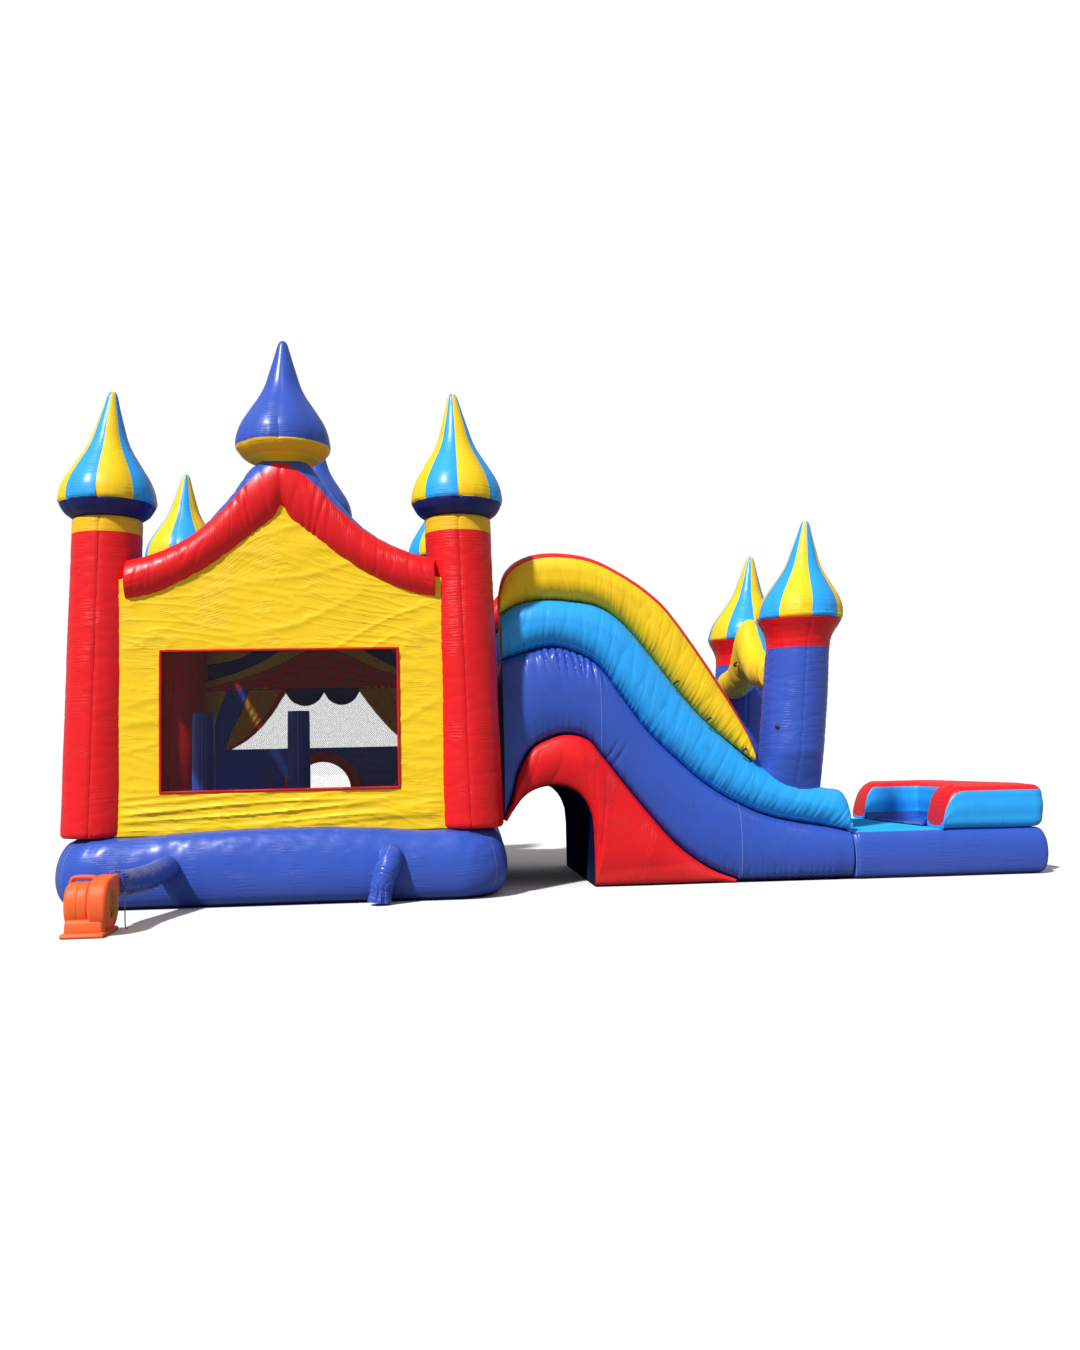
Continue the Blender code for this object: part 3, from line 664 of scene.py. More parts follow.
def gore_shape(count, seed, belly):
    def shape(angle, v, radius, z):
        off = abs(((angle * count / tau) % 1.0) - 0.5) * 2
        swelling = 0.030 * (1 - off ** 2.2) - 0.012
        sink, run = 0.0, angle * 0.43
        if z > belly - 0.02:
            sink += gather(run, abs(z - belly), 0.028, 0.012, 0.075, seed)
        if z <= belly:
            sink += gather(run, abs(z - belly + 0.02), 0.05, 0.008, 0.05, seed + 2)
        return radius * (1 + swelling * min(radius / 0.2, 1.0)) + sink, z

    return shape


def striped(first, second, turn, belly, bowl):
    """Gores of two colours by turns above the belly, and the bowl's colour below it."""
    def paint(u, v, point):
        if point.z < belly:
            return bowl
        gore = int((u * 8 - turn) % 8)
        return first if gore % 2 == 0 else second

    return paint


def dome_profile(belly_r, belly, tip, foot):
    """Top to bottom: a round tip, a hollow neck and a full belly over the foot's points."""
    tall = tip - belly
    neck = [(0.0, tip), (0.024, tip - 0.006), (0.040, tip - 0.028), (0.052, tip - 0.06)]
    drop = [(0.165, 0.87), (0.225, 0.78), (0.295, 0.68), (0.385, 0.554), (0.50, 0.45), (0.64, 0.355),
            (0.752, 0.278), (0.868, 0.195), (0.950, 0.11), (0.988, 0.04), (1.0, 0.0)]
    rise = [(belly_r * share, belly + tall * height) for share, height in drop]
    return curve(neck + rise + foot)


print("tower tools ready")

# %% Four towers with domes
TOWERS = (  # corner, seed, turn of the dome's stripes, lean of the dome's tip along X
    ("front_left", 1, 0, 0.04), ("front_right", 2, 0, -0.03),
    ("rear_left", 3, 0.72, 0.03), ("rear_right", 4, 1, -0.02),
)
for corner, seed, turn, tip in TOWERS:
    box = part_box(f"tower_{corner}")
    foot, head = box[0].z, box[1].z
    axis = tower_axis(box)
    outline = [Vector(p) for p in ((0, foot), (TOWER_R - 0.02, foot), (TOWER_R, foot + 0.03))]
    outline += [Vector((TOWER_R, foot + 0.1 * i)) for i in range(1, 28)]
    outline += [Vector(p) for p in ((TOWER_R, head - 0.02), (TOWER_R - 0.012, head), (0, head))]
    piece = turned(f"corner_tower_{corner}", outline, axis, tower_paint, 96, 170,
                   tower_shape(seed), (), 4)
    belongs(piece, "red_vinyl", f"tower_{corner}")

    top_x, top_y = axis(head)
    dome_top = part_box(f"tower_dome_{corner}")[1].z
    belly = head + 0.168
    foot_line = [(0.425, head + 0.145), (0.375, head + 0.06), (0.315, head + 0.012),
                 (0.30, head + 0.002)]
    drop = 0.04 if corner.startswith("rear") else 0.0
    profile = dome_profile(0.43, belly, dome_top - drop, foot_line) + [Vector((0, head + 0.002))]
    paint = striped(YELLOW, SKY, turn, head + 0.142, NAVY)

    def dome_axis(z, x=top_x, y=top_y, base=belly, tip=tip, tall=dome_top - belly):
        """The dome's tip bends inwards a little."""
        return x + tip * (max(z - base, 0) / tall) ** 2, y

    piece = turned(f"onion_dome_{corner}", profile, dome_axis, paint, 96, 120,
                   gore_shape(8, seed + 10, belly - 0.02))
    belongs(piece, "sky_vinyl", f"tower_dome_{corner}")

# %% [markdown]
# ## Gable arches, beams and roof
#
# The gable is one bent tube. Its section is measured upright, between an upper and a lower line, so
# the two halves meet in a true mitre at the peak. The cloth on the inside of a bend is too long and
# folds there; near the peak the folds cross the whole tube. The front and underside are red, the
# top and back royal blue.

# %% Gable arches
arch_over = level(curve([
    (0, 4.09), (0.12, 4.06), (0.29, 3.93), (0.50, 3.64), (0.76, 3.37), (1.10, 3.18), (1.50, 3.075),
]))
arch_under = level(curve([
    (0, 3.46), (0.06, 3.43), (0.20, 3.32), (0.42, 3.15), (0.76, 2.93), (1.10, 2.77), (1.50, 2.68),
]))
ARCH_R = 0.20
ARCH_END = 1.38
GABLE_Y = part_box("gable_dome_rear")[1].y - 0.43
ARCH_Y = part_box("gable_arch_rear")[1].y - ARCH_R
WALL_Y = (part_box("wall_panel_rear")[0].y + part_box("wall_panel_rear")[1].y) / 2
print("planes of dome, arch and wall:", round(GABLE_Y, 3), round(ARCH_Y, 3), round(WALL_Y, 3))


def arch_middle(x):
    return (arch_over(abs(x)) + arch_under(abs(x))) / 2


def make_arch(name, side, seed):
    """side is -1 for the front arch and 1 for the rear one. Its ends are sewn flat to the towers."""
    cap = 0.004

    def place(u, v):
        t, size = capped(v, cap)
        x = -ARCH_END + 2 * ARCH_END * t
        tall = (arch_over(abs(x)) - arch_under(abs(x))) / 2
        angle = tau * u - pi / 2
        out = -side * cos(angle)
        crease = 0.006 * folds(x * 7.0, angle * 0.35, seed) ** 3
        for off, slant, width in ((0.30, 0.05, 0.014), (0.36, 0.07, 0.012)):
            past = (abs(x) - off - slant * sin(angle)) / width
            crease += 0.009 * exp(-(past ** 2)) * (0.5 + 0.5 * cos(angle))
        valley = 0.050 * exp(-((x / 0.045) ** 2)) * max(0.25 - sin(angle), 0) * 0.8
        end = gather(angle * 0.2, ARCH_END - abs(x), 0.05, 0.008, 0.14, seed)
        full = 1 - (crease + valley) / ARCH_R + end * 3 + 0.012 * swell(x * 2, angle, seed)
        y = ARCH_Y * side - out * ARCH_R * full * size
        return x, y, arch_middle(x) + tall * sin(angle) * full * size

    def paint(u, v, point):
        facing = (point.y * side - ARCH_Y) / ARCH_R
        lift = (point.z - arch_middle(point.x)) / ARCH_R
        return ROYAL if facing < 0.10 and lift > -0.75 or lift > 0.96 else RED

    return skin(name, 96, 260, place, paint)


# Under its blue bell the gable's dome has a yellow bowl, whose foot sinks behind the arch's peak.
# The band of the bowl just under the bell gets the darker collar yellow: painted shade from the bell.
BOWL = [(0.425, 4.135), (0.375, 4.075), (0.315, 4.035), (0.245, 4.00), (0.205, 3.94), (0.19, 3.80)]


def gable_paint(u, v, point):
    return ROYAL if point.z > 4.16 else (YELLOW if point.z < 4.05 else COLLAR_PAINTED_SHADE)


for side, name in ((-1, "front"), (1, "rear")):
    arch = make_arch(f"gable_tube_{name}", side, 20 + side)
    belongs(arch, "red_vinyl", f"gable_arch_{name}")
    dome_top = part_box(f"gable_dome_{name}")[1].z
    profile = dome_profile(0.432, 4.185, dome_top, BOWL) + [Vector((0, BOWL[-1][1]))]
    dome = turned(f"gable_onion_{name}", profile, lambda z, y=side * GABLE_Y: (0, y), gable_paint,
                  96, 120, gore_shape(8, 31 + side, 4.17), (), 0)
    belongs(dome, "royal_vinyl", f"gable_dome_{name}")


def beam_shape(angle, t):
    return -0.008 * folds(t * 16, angle * 0.35, 4.0) ** 3 + 0.003 * swell(angle, t * 5, 2.0)


for name in ("left", "right"):
    low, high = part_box(f"side_beam_{name}")
    x, z = (low.x + high.x) / 2, (low.z + high.z) / 2
    path = [Vector((x, -ARCH_END, z)), Vector((x, 0, z - 0.02)), Vector((x, ARCH_END, z))]
    beam = tube(f"eaves_tube_{name}", curve(path), lambda t: 0.197, plain(RED), 64, 150, beam_shape)
    belongs(beam, "red_vinyl", f"side_beam_{name}")

# %% [markdown]
# The roof is a single sheet laced between the arches. It is only held at its edges, so it hangs in
# a shallow belly, with ripples that run from edge to edge.

# %% Roof sheet
ROOF_LOW, ROOF_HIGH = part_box("roof_sheet")
CLOTH = 0.006


def roof_place(u, v):
    x = ROOF_LOW.x + (ROOF_HIGH.x - ROOF_LOW.x) * u
    y = ROOF_LOW.y + (ROOF_HIGH.y - ROOF_LOW.y) * v
    free = 1 - (y / ROOF_HIGH.y) ** 2
    sag = 0.05 * free + 0.010 * folds(x * 3.2, y * 0.7, 5.0) * free
    return x, y, arch_middle(x) - 0.03 - sag


roof = open_skin("roof_cloth", 150, 110, roof_place, plain(ROYAL), (0.25, 0.5, 0.75))
thicken(roof, CLOTH)
belongs(roof, "royal_vinyl", "roof_sheet", fill=0)

# %% [markdown]
# ## Walls
#
# The walls are single sheets sewn to the towers and arches. They carry no air, so slack shows as
# wrinkles: long diagonal folds that run from the corners of the window, and fine level creases
# under the gable. The grid's lines are placed so that the window's edges fall on them.

# %% Front wall
WINDOW_LOW, WINDOW_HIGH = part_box("window_net_front")
WALL_EDGE = 1.47
GABLE_SINK = 0.02
FRONT_SEED, REAR_SEED, LEFT_SEED, RIGHT_SEED = 2.0, 9.0, 14.0, 17.0  # each wall has its own wrinkles


def banded(share, stops, values):
    """Straight runs between values at the given shares."""
    for a, b, low, high in zip(stops, stops[1:], values, values[1:]):
        if share <= b or b == stops[-1]:
            return low + (high - low) * (share - a) / (b - a)
    return values[-1]


def wall_wrinkle(x, z, seed):
    """Metres that a wall's cloth stands out, for a wall seen from its front."""
    drift = 0.35 * swell(x * 0.7, z * 0.7, seed)
    long = folds(x * 0.45 + z * 0.9 + drift, z * 4.2 - x * 1.5 + drift * 3, seed) ** 2
    short = folds(x * 2.1 + drift, z * 13.0 + x * 2.0, seed + 3) ** 3
    return 0.007 * long + 0.006 * short + 0.006 * swell(x * 1.6, z * 1.6, seed + 8)


def front_wall_place(u, v):
    x = banded(u, (0, 0.14, 0.86, 1), (-WALL_EDGE, WINDOW_LOW.x, WINDOW_HIGH.x, WALL_EDGE))
    top = arch_middle(x) + GABLE_SINK
    z = banded(v, (0, 0.18, 0.56, 1), (BASE_TOP + 0.004, WINDOW_LOW.z, WINDOW_HIGH.z, top))
    below = max(0.0, 1 - abs(z - 0.82) / 0.25)
    fold = wall_wrinkle(x, z, FRONT_SEED) + 0.020 * below * folds(x * 0.5, (z - x * 0.055) * 11, 6.0)
    slack = min((WALL_EDGE - abs(x)) / 0.15, 1.0)
    return x, -WALL_Y - fold * slack + 0.012, z


def inside_box(point, low, high):
    return low.x < point.x < high.x and low.z < point.z < high.z


def cut_window(piece, test):
    """Takes out the faces whose middle passes the test."""
    select_only(piece)
    bpy.ops.object.mode_set(mode="EDIT")
    bpy.ops.mesh.select_all(action="DESELECT")
    bpy.ops.object.mode_set(mode="OBJECT")
    for face in piece.data.polygons:
        face.select = test(face.center)
    bpy.ops.object.mode_set(mode="EDIT")
    bpy.ops.mesh.select_mode(type="FACE")
    bpy.ops.mesh.delete(type="FACE")
    bpy.ops.object.mode_set(mode="OBJECT")


wall = open_skin("front_wall_cloth", 200, 200, front_wall_place, plain(YELLOW))
cut_window(wall, lambda point: inside_box(point, WINDOW_LOW, WINDOW_HIGH))
thicken(wall, CLOTH)
belongs(wall, "yellow_vinyl", "wall_panel_front", fill=0)

# %% [markdown]
# A window is a black knotted net with a red binding round its edge. The net is a pattern of thin
# threads, transparent between them, and the binding is a real tube of cloth.

# %% Net and binding
def net():
    """Black diamond mesh: threads where either slanting coordinate is near a whole number."""
    made = Finish("black window net", {"Roughness": 0.75})
    cloth = made.cloth()
    across, along = made.height(cloth, 0), made.height(cloth, 1)
    pitch = 0.020
    one = abs(((across + along) / pitch).part() - 0.5)
    two = abs(((across - along) / pitch + 500.0).part() - 0.5)
    thread = 1.0 - (1.0 - one.within(0.035, 0.075)) * (1.0 - two.within(0.035, 0.075))
    made.feed("Alpha", thread * 0.95)
    fuzz = made.noise(made.where(), 300.0)
    made.feed("Base Color", made.mix(fuzz, (0.008, 0.008, 0.010, 1), (0.03, 0.03, 0.035, 1)))
    return made.material


NET = net()


def net_sheet(name, low, high, node, plane="XZ"):
    """A net stretched in a window; it bellies by a few millimetres."""
    def place(u, v):
        z = low.z + (high.z - low.z) * v
        belly = 0.008 * sin(pi * u) * sin(pi * v) + 0.004 * swell(u * 6, v * 5, 1.0)
        if plane == "XZ":
            return low.x + (high.x - low.x) * u, (low.y + high.y) / 2 - belly, z
        return (low.x + high.x) / 2 - belly, low.y + (high.y - low.y) * u, z

    piece = open_skin(name, 60, 40, place, plain(NET))
    belongs(piece, "black_net", node, fill=0)
    return piece


def drawn(name, points, closed, settings, place=Matrix()):
    """A line through the points, drawn as a curve with these settings and then made a mesh."""
    data = bpy.data.curves.new(name, "CURVE")
    for setting, value in settings.items():
        setattr(data, setting, value)
    spline = data.splines.new("POLY")
    spline.points.add(len(points) - 1)
    for dot, point in zip(spline.points, points):
        dot.co = (*point, 1)
    spline.use_cyclic_u = closed
    piece = bpy.data.objects.new(name, data)
    bpy.context.scene.collection.objects.link(piece)
    piece.matrix_world = place
    select_only(piece)
    bpy.ops.object.convert(target="MESH")
    return bpy.context.object


def binding(name, points, closed=True, radius=0.011, material=RED):
    """A thin tube of cloth along an edge."""
    settings = {"dimensions": "3D", "bevel_depth": radius, "bevel_resolution": 3,
                "use_fill_caps": not closed}
    piece = drawn(name, points, closed, settings)
    bpy.ops.object.shade_smooth_by_angle(angle=radians(60))
    piece.data.materials.append(material)
    return piece


def window_rim(left, right, low, high, across, along):
    """Points round a window, from its lower left corner along its sill and on round."""
    corners = [(left, low), (right, low), (right, high), (left, high)]
    counts = (across, along, across, along)
    rim = []
    for (a, b), (c, d), count in zip(corners, corners[1:] + corners[:1], counts):
        rim += [(a + (c - a) * i / count, b + (d - b) * i / count) for i in range(count)]
    return rim


BINDING_R = 0.014
net_sheet("net_front", WINDOW_LOW, WINDOW_HIGH, "window_net_front")
rim = window_rim(WINDOW_LOW.x, WINDOW_HIGH.x, WINDOW_LOW.z, WINDOW_HIGH.z, 40, 24)
points = [(x, -WALL_Y - wall_wrinkle(x, z, FRONT_SEED) + 0.006, z) for x, z in rim]
belongs(binding("window_binding_front", points, radius=BINDING_R), "red_vinyl", fill=0)

# %% [markdown]
# The rear wall has a window cut like a tent, with two scallops of valance hanging into it, and a
# round-headed doorway. Its sheet is made whole and then cut by two extruded outlines, so the edges
# are clean curves. Curtains, valance and bands are further sheets, laid on both faces. The navy
# bands are painted shade of the rear arch, and the drapes' darker orange yellow is painted shade.

# %% Rear wall
DOOR_X = 0.04
DOOR_HALF = 0.33
DOOR_TOP = 1.26
SILL = 1.43
TENT_LEFT = [(-1.02, SILL), (-0.78, 1.58), (-0.55, 1.85), (-0.385, 2.085)]
TENT_RIGHT = [(0.483, 2.094), (0.66, 1.85), (0.88, 1.60), (1.10, SILL)]


def scallops():
    """The lower edge of the valance, two round lobes from left to right."""
    lobes = []
    for left, right, drop in ((-0.385, 0.065, 0.16), (0.065, 0.483, 0.155)):
        for step in range(9):
            t = step / 8
            lobes.append(Vector((left + (right - left) * t, 2.09 - drop * sin(pi * t) ** 0.6)))
    return lobes


TENT = curve(TENT_LEFT, 6) + scallops()[1:-1] + curve(TENT_RIGHT, 6)


def arched(half, top, foot):
    """A round-headed outline from its left foot to its right foot."""
    spring = top - half
    turns = [pi * i / 20 for i in range(21)]
    head = [Vector((DOOR_X - half * cos(turn), spring + half * sin(turn))) for turn in turns]
    return [Vector((DOOR_X - half, foot)), *head, Vector((DOOR_X + half, foot))]


def extruded(name, outline, y, depth):
    """A flat outline in the XZ plane, filled and given depth along Y."""
    settings = {"dimensions": "2D", "fill_mode": "BOTH", "extrude": depth / 2}
    upright = Matrix.Translation((0, y, 0)) @ Matrix.Rotation(pi / 2, 4, "X")
    piece = drawn(name, [(point[0], point[1], 0) for point in outline], True, settings, upright)
    bpy.ops.object.transform_apply(location=True, rotation=True, scale=True)
    bpy.ops.object.mode_set(mode="EDIT")
    bpy.ops.mesh.select_all(action="SELECT")
    bpy.ops.mesh.remove_doubles(threshold=0.00002)
    bpy.ops.mesh.normals_make_consistent(inside=False)
    bpy.ops.object.mode_set(mode="OBJECT")
    return piece


def cut_by(piece, cutter):
    select_only(piece)
    hole = piece.modifiers.new("hole", "BOOLEAN")
    hole.operation = "DIFFERENCE"
    hole.object = cutter
    bpy.ops.object.modifier_apply(modifier=hole.name)
    bpy.data.objects.remove(cutter, do_unlink=True)
    return piece


def rear_wall_place(u, v):
    x = -WALL_EDGE + 2 * WALL_EDGE * u
    z = banded(v, (0, 0.3, 1), (BASE_TOP + 0.004, SILL, arch_middle(x) + GABLE_SINK))
    return x, WALL_Y + wall_wrinkle(x, z, REAR_SEED) - 0.010, z


def rear_wall_paint(u, v, point):
    return ROYAL if point.z < SILL else YELLOW


rear = open_skin("rear_wall_cloth", 150, 150, rear_wall_place, rear_wall_paint, (), (0.3,))
thicken(rear, CLOTH)
cut_by(rear, extruded("tent_cutter", TENT, WALL_Y, 0.2))
cut_by(rear, extruded("door_cutter", arched(DOOR_HALF, DOOR_TOP, 0.5), WALL_Y, 0.2))
belongs(rear, "yellow_vinyl", "wall_panel_rear", fill=0)


def tent_net_place(u, v):
    z = SILL + (2.10 - SILL) * v
    left, right = -1.02 - 0.02, 1.10 + 0.02
    for a, b in zip(TENT, TENT[1:]):
        if a.y <= z <= b.y and a.x < -0.3:
            left = a.x - 0.02
        if b.y <= z <= a.y and a.x > 0.45:
            right = b.x + 0.02
    if v > 0.98:
        left, right = -0.40, 0.50
    return left + (right - left) * u, WALL_Y + 0.004 * sin(pi * u) * sin(pi * v), z


tent_net = open_skin("net_rear", 60, 40, tent_net_place, plain(NET))
belongs(tent_net, "black_net", "window_net_rear", fill=0)

# %% [markdown]
# Each applied sheet lies between two lines, so its own grid follows its shape and its edges stay
# smooth. A copy mirrored through the wall dresses the outside.

# %% Curtains, valance and bands
def applied(name, left, right, material, slot, lift=0.012, across=40, along=60, fold_across=0.010):
    """A sheet between two XZ lines, laid on the rear wall's inside and outside."""
    first, second = walk([Vector(p) for p in left]), walk([Vector(p) for p in right])
    for side, face in ((-1, "inside"), (1, "outside")):
        def place(u, v):
            spot = first(v).lerp(second(v), u)
            out = lift + fold_across * (0.5 + 0.5 * cos(tau * u * 4 + v * 2)) * min(v * 3, (1 - v) * 3, 1)
            away = wall_wrinkle(spot.x, spot.y, REAR_SEED) - 0.010
            return spot.x, WALL_Y + away + side * out, spot.y

        piece = open_skin(f"{name}_{face}", across, along, place, plain(material))
        thicken(piece, 0.003)
        belongs(piece, slot, fill=0)
        wide = (first(0.5) - second(0.5)).length
        long = sum((first(i / 20) - first((i + 1) / 20)).length for i in range(20))


applied("rear_curtain_left", curve([(-1.09, SILL), (-0.85, 1.58), (-0.62, 1.85), (-0.46, 2.14)]),
        curve([(-1.02, SILL), (-0.76, 1.60), (-0.53, 1.86), (-0.37, 2.14)]), RED, "red_vinyl",
        fold_across=0.0)
# The drapes get the darker orange yellow, which is painted shade on yellow cloth.
applied("rear_drape_left", curve([(-1.12, SILL), (-1.02, 1.62), (-0.90, 1.86), (-0.80, 2.16)]),
        curve([(-1.06, SILL), (-0.82, 1.60), (-0.59, 1.87), (-0.42, 2.16)]), DRAPE_PAINTED_SHADE, "yellow_vinyl")
applied("rear_drape_right", curve([(0.50, 2.16), (0.69, 1.87), (0.92, 1.60), (1.14, SILL)]),
        curve([(0.84, 2.16), (0.95, 1.88), (1.08, 1.64), (1.20, SILL)]), DRAPE_PAINTED_SHADE, "yellow_vinyl")
applied("rear_pelmet_left", curve([(-1.28, 1.40), (-1.22, 1.70), (-1.14, 1.95), (-1.05, 2.18)]),
        curve([(-1.10, 1.40), (-1.02, 1.64), (-0.90, 1.88), (-0.80, 2.18)]), ROYAL, "royal_vinyl")
applied("rear_valance", curve([(-1.30, 2.12), (-0.7, 2.13), (0.04, 2.12), (0.7, 2.13), (1.34, 2.12)]),
        curve([(-1.30, 2.16), (-0.62, 2.36), (0.04, 2.62), (0.70, 2.36), (1.34, 2.16)]), RED, "red_vinyl",
        along=80, fold_across=0.004)
# Painted shade: these navy sheets stand for the inner side of the royal rear arch in shade.
applied("rear_painted_shade_band_left", curve([(-1.30, 2.24), (-0.95, 2.34), (-0.60, 2.50), (-0.25, 2.72)]),
        curve([(-1.30, 2.44), (-0.95, 2.50), (-0.65, 2.66), (-0.35, 2.86)]), NAVY, "royal_vinyl",
        fold_across=0.0)
applied("rear_painted_shade_band_right", curve([(0.33, 2.72), (0.68, 2.50), (1.00, 2.34), (1.34, 2.24)]),
        curve([(0.43, 2.86), (0.73, 2.66), (1.03, 2.50), (1.34, 2.44)]), NAVY, "royal_vinyl",
        fold_across=0.0)
lobes = scallops()
applied("rear_scallops", lobes, [(p.x, 2.14) for p in lobes], NAVY, "royal_vinyl",
        across=12, along=80, fold_across=0.0, lift=0.016)
outer = arched(DOOR_HALF + 0.13, DOOR_TOP + 0.12, BASE_TOP + 0.01)
inner = arched(DOOR_HALF, DOOR_TOP, BASE_TOP + 0.01)
applied("doorway_frame", inner, outer, RED, "red_vinyl", across=8, along=120, fold_across=0.0)

# %% [markdown]
# The left wall has a plain net window; the right wall is open where the ramp leads to the slide.

# %% Side walls
SIDE_LOW, SIDE_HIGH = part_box("window_net_left")
SIDE_HALF, SIDE_TOP = 1.33, 2.95
PASSAGE_HALF, PASSAGE_TOP = 0.82, 2.78


def side_wall_place(side, seed):
    def place(u, v):
        y = banded(u, (0, 0.13, 0.87, 1), (-SIDE_HALF, SIDE_LOW.y, SIDE_HIGH.y, SIDE_HALF))
        z = banded(v, (0, 0.2, 0.72, 1), (BASE_TOP + 0.004, SIDE_LOW.z, SIDE_HIGH.z, SIDE_TOP))
        return side * (WALL_Y + wall_wrinkle(y, z, seed) - 0.010), y, z

    return place


for side, name, seed in ((-1, "left", LEFT_SEED), (1, "right", RIGHT_SEED)):
    piece = open_skin(f"side_wall_cloth_{name}", 130, 130, side_wall_place(side, seed), plain(YELLOW))
    if side < 0:
        cut_window(piece, lambda p: SIDE_LOW.y < p.y < SIDE_HIGH.y and SIDE_LOW.z < p.z < SIDE_HIGH.z)
    else:
        cut_window(piece, lambda p: abs(p.y) < PASSAGE_HALF and p.z < PASSAGE_TOP)
    thicken(piece, CLOTH)
    belongs(piece, "yellow_vinyl", f"wall_panel_{name}", fill=0)
net_sheet("net_left", SIDE_LOW, SIDE_HIGH, "window_net_left", "YZ")
rim = window_rim(SIDE_LOW.y, SIDE_HIGH.y, SIDE_LOW.z, SIDE_HIGH.z, 36, 36)
points = [(-WALL_Y - wall_wrinkle(y, z, LEFT_SEED) + 0.006, y, z) for y, z in rim]
belongs(binding("window_binding_left", points, radius=BINDING_R), "red_vinyl", fill=0)

# %% [markdown]
# ## Inside the house
#
# Two pop-up pillars stand on the mat for children to run round. A ramp with steps climbs to the
# slide's passage, and a low step helps them in at the rear doorway.

# %% Pillars, ramp and step
def pillar_shape(angle, v, radius, z):
    sink = grooves(angle, 4, 0.004, 0.04) * min(radius * 8, 1)
    return radius * (1 + 0.02 * swell(angle, z * 3, 2.0)) + sink, z


for name in ("left", "middle"):
    low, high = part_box(f"popup_pillar_{name}")
    x, y = (low.x + high.x) / 2, (low.y + high.y) / 2
    radius = (high.x - low.x) / 2
    outline = curve([(0, low.z), (radius - 0.02, low.z + 0.002), (radius, low.z + 0.05), (radius, 1.0),
                     (radius * 0.98, 1.4), (radius * 0.95, high.z - 0.03), (radius * 0.85, high.z),
                     (0, high.z + 0.004)])
    pillar = turned(f"popup_pillar_skin_{name}", outline, lambda z, x=x, y=y: (x, y),
                    plain(ROYAL), 64, 120, pillar_shape, (), 4)
    belongs(pillar, "royal_vinyl", f"popup_pillar_{name}")

RAMP_LOW, RAMP_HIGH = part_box("climbing_ramp")
STEPS = 6


def ramp_low(t):
    return Vector((RAMP_LOW.x + (RAMP_HIGH.x - RAMP_LOW.x) * t, RAMP_LOW.z + 0.004))


def ramp_high(t):
    x = RAMP_LOW.x + (RAMP_HIGH.x - RAMP_LOW.x) * t
    share = min((x - RAMP_LOW.x) / 0.80, 1.0)
    stair = share + 0.35 / STEPS * sin(tau * share * STEPS) / tau * 2 if share < 1 else 1.0
    return Vector((x, RAMP_LOW.z + 0.03 + (RAMP_HIGH.z - RAMP_LOW.z - 0.03) * min(stair, 1.0)))


ramp = loaf("climbing_ramp_skin", ramp_low, ramp_high, 0.0, RAMP_HIGH.y - 0.01, 0.06, 0.0,
            plain(ROYAL), 80, 160, 0.02, None, (FRONT_TOP, BACK_TOP))
belongs(ramp, "royal_vinyl", "climbing_ramp")

STEP_LOW, STEP_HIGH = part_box("entrance_step")
step_mid = (STEP_LOW + STEP_HIGH) / 2
step_half = (STEP_HIGH - STEP_LOW) / 2


def step_place(u, v):
    cap = 0.10
    t, size = capped(v, cap)
    size = size ** 0.6
    side, rise = hoop(u, step_half.y, step_half.z, 0.08, 0.0)
    crown = 0.02 * sin(pi * t) if rise > 0 else 0.0
    x = step_half.x * (2 * t - 1) * (1 - 0.02 * (1 - size))
    return step_mid.x + x, step_mid.y + side * size, max(step_mid.z + (rise + crown) * size - 0.01, 0.003)


step = skin("entrance_step_skin", 100, 90, step_place, plain(ROYAL), (FRONT_TOP, BACK_TOP))
belongs(step, "royal_vinyl", "entrance_step")

# %% [markdown]
# ## The slide
#
# From the side, the slide is a set of lines: the lane that is slid on, the top of the lower wall
# tube, the crest of the upper one, the rim of the red panel and the mouth of the tunnel. Each
# chamber fills the band between two of them. The blue body is gathered under the lower tube, which
# leaves short folds that shine.

# %% Lines of the slide
SLIDE_X = 2.005
LANE_END_X = 5.40
LANE = curve([
    (SLIDE_X, 2.19), (2.43, 2.315), (2.715, 2.27), (2.955, 2.13), (3.14, 1.88), (3.42, 1.49),
    (3.71, 1.195), (3.99, 0.95), (4.28, 0.77), (4.67, 0.61), (LANE_END_X, 0.48),
])
TIER = curve([
    (SLIDE_X, 2.65), (2.20, 2.75), (2.44, 2.786), (2.70, 2.77), (2.98, 2.71), (3.22, 2.54),
    (3.46, 2.25), (3.71, 1.92), (4.01, 1.57), (4.47, 1.17), (4.80, 0.99), (5.20, 0.89),
    (5.31, 0.875), (5.375, 0.82), (LANE_END_X, 0.70), (LANE_END_X, 0.55),
])
CREST = curve([
    (2.00, 2.83), (2.045, 3.03), (2.16, 3.16), (2.35, 3.235), (2.60, 3.25), (2.90, 3.20),
    (3.19, 3.06), (3.48, 2.86), (3.72, 2.61), (4.15, 1.967), (4.40, 1.48), (4.475, 1.22),
])
RIM = curve([
    (SLIDE_X, 0.66), (2.085, 0.86), (2.145, 1.09), (2.27, 1.32), (2.455, 1.43), (2.65, 1.466),
    (2.84, 1.405), (2.98, 1.24), (3.17, 0.99), (3.40, 0.70), (3.68, 0.38), (3.97, 0.16), (4.26, 0.03),
])
MOUTH = curve([
    (2.03, 0.64), (2.19, 0.86), (2.35, 0.955), (2.54, 0.97), (2.70, 0.91), (2.80, 0.80), (2.855, 0.66),
])
lane_z, tier_z, rim_z = level(LANE), level(TIER), level(RIM)
SLIDE_HALF = 1.30
LANE_HALF = 0.80

# %% Slide body
def body_low(t):
    x = SLIDE_X + (LANE_END_X - SLIDE_X) * t
    return Vector((x, max(rim_z(x), 0.006) if x < RIM[-1].x else 0.006))


def body_high(t):
    x = SLIDE_X + (LANE_END_X - SLIDE_X) * t
    return Vector((x, lane_z(x)))


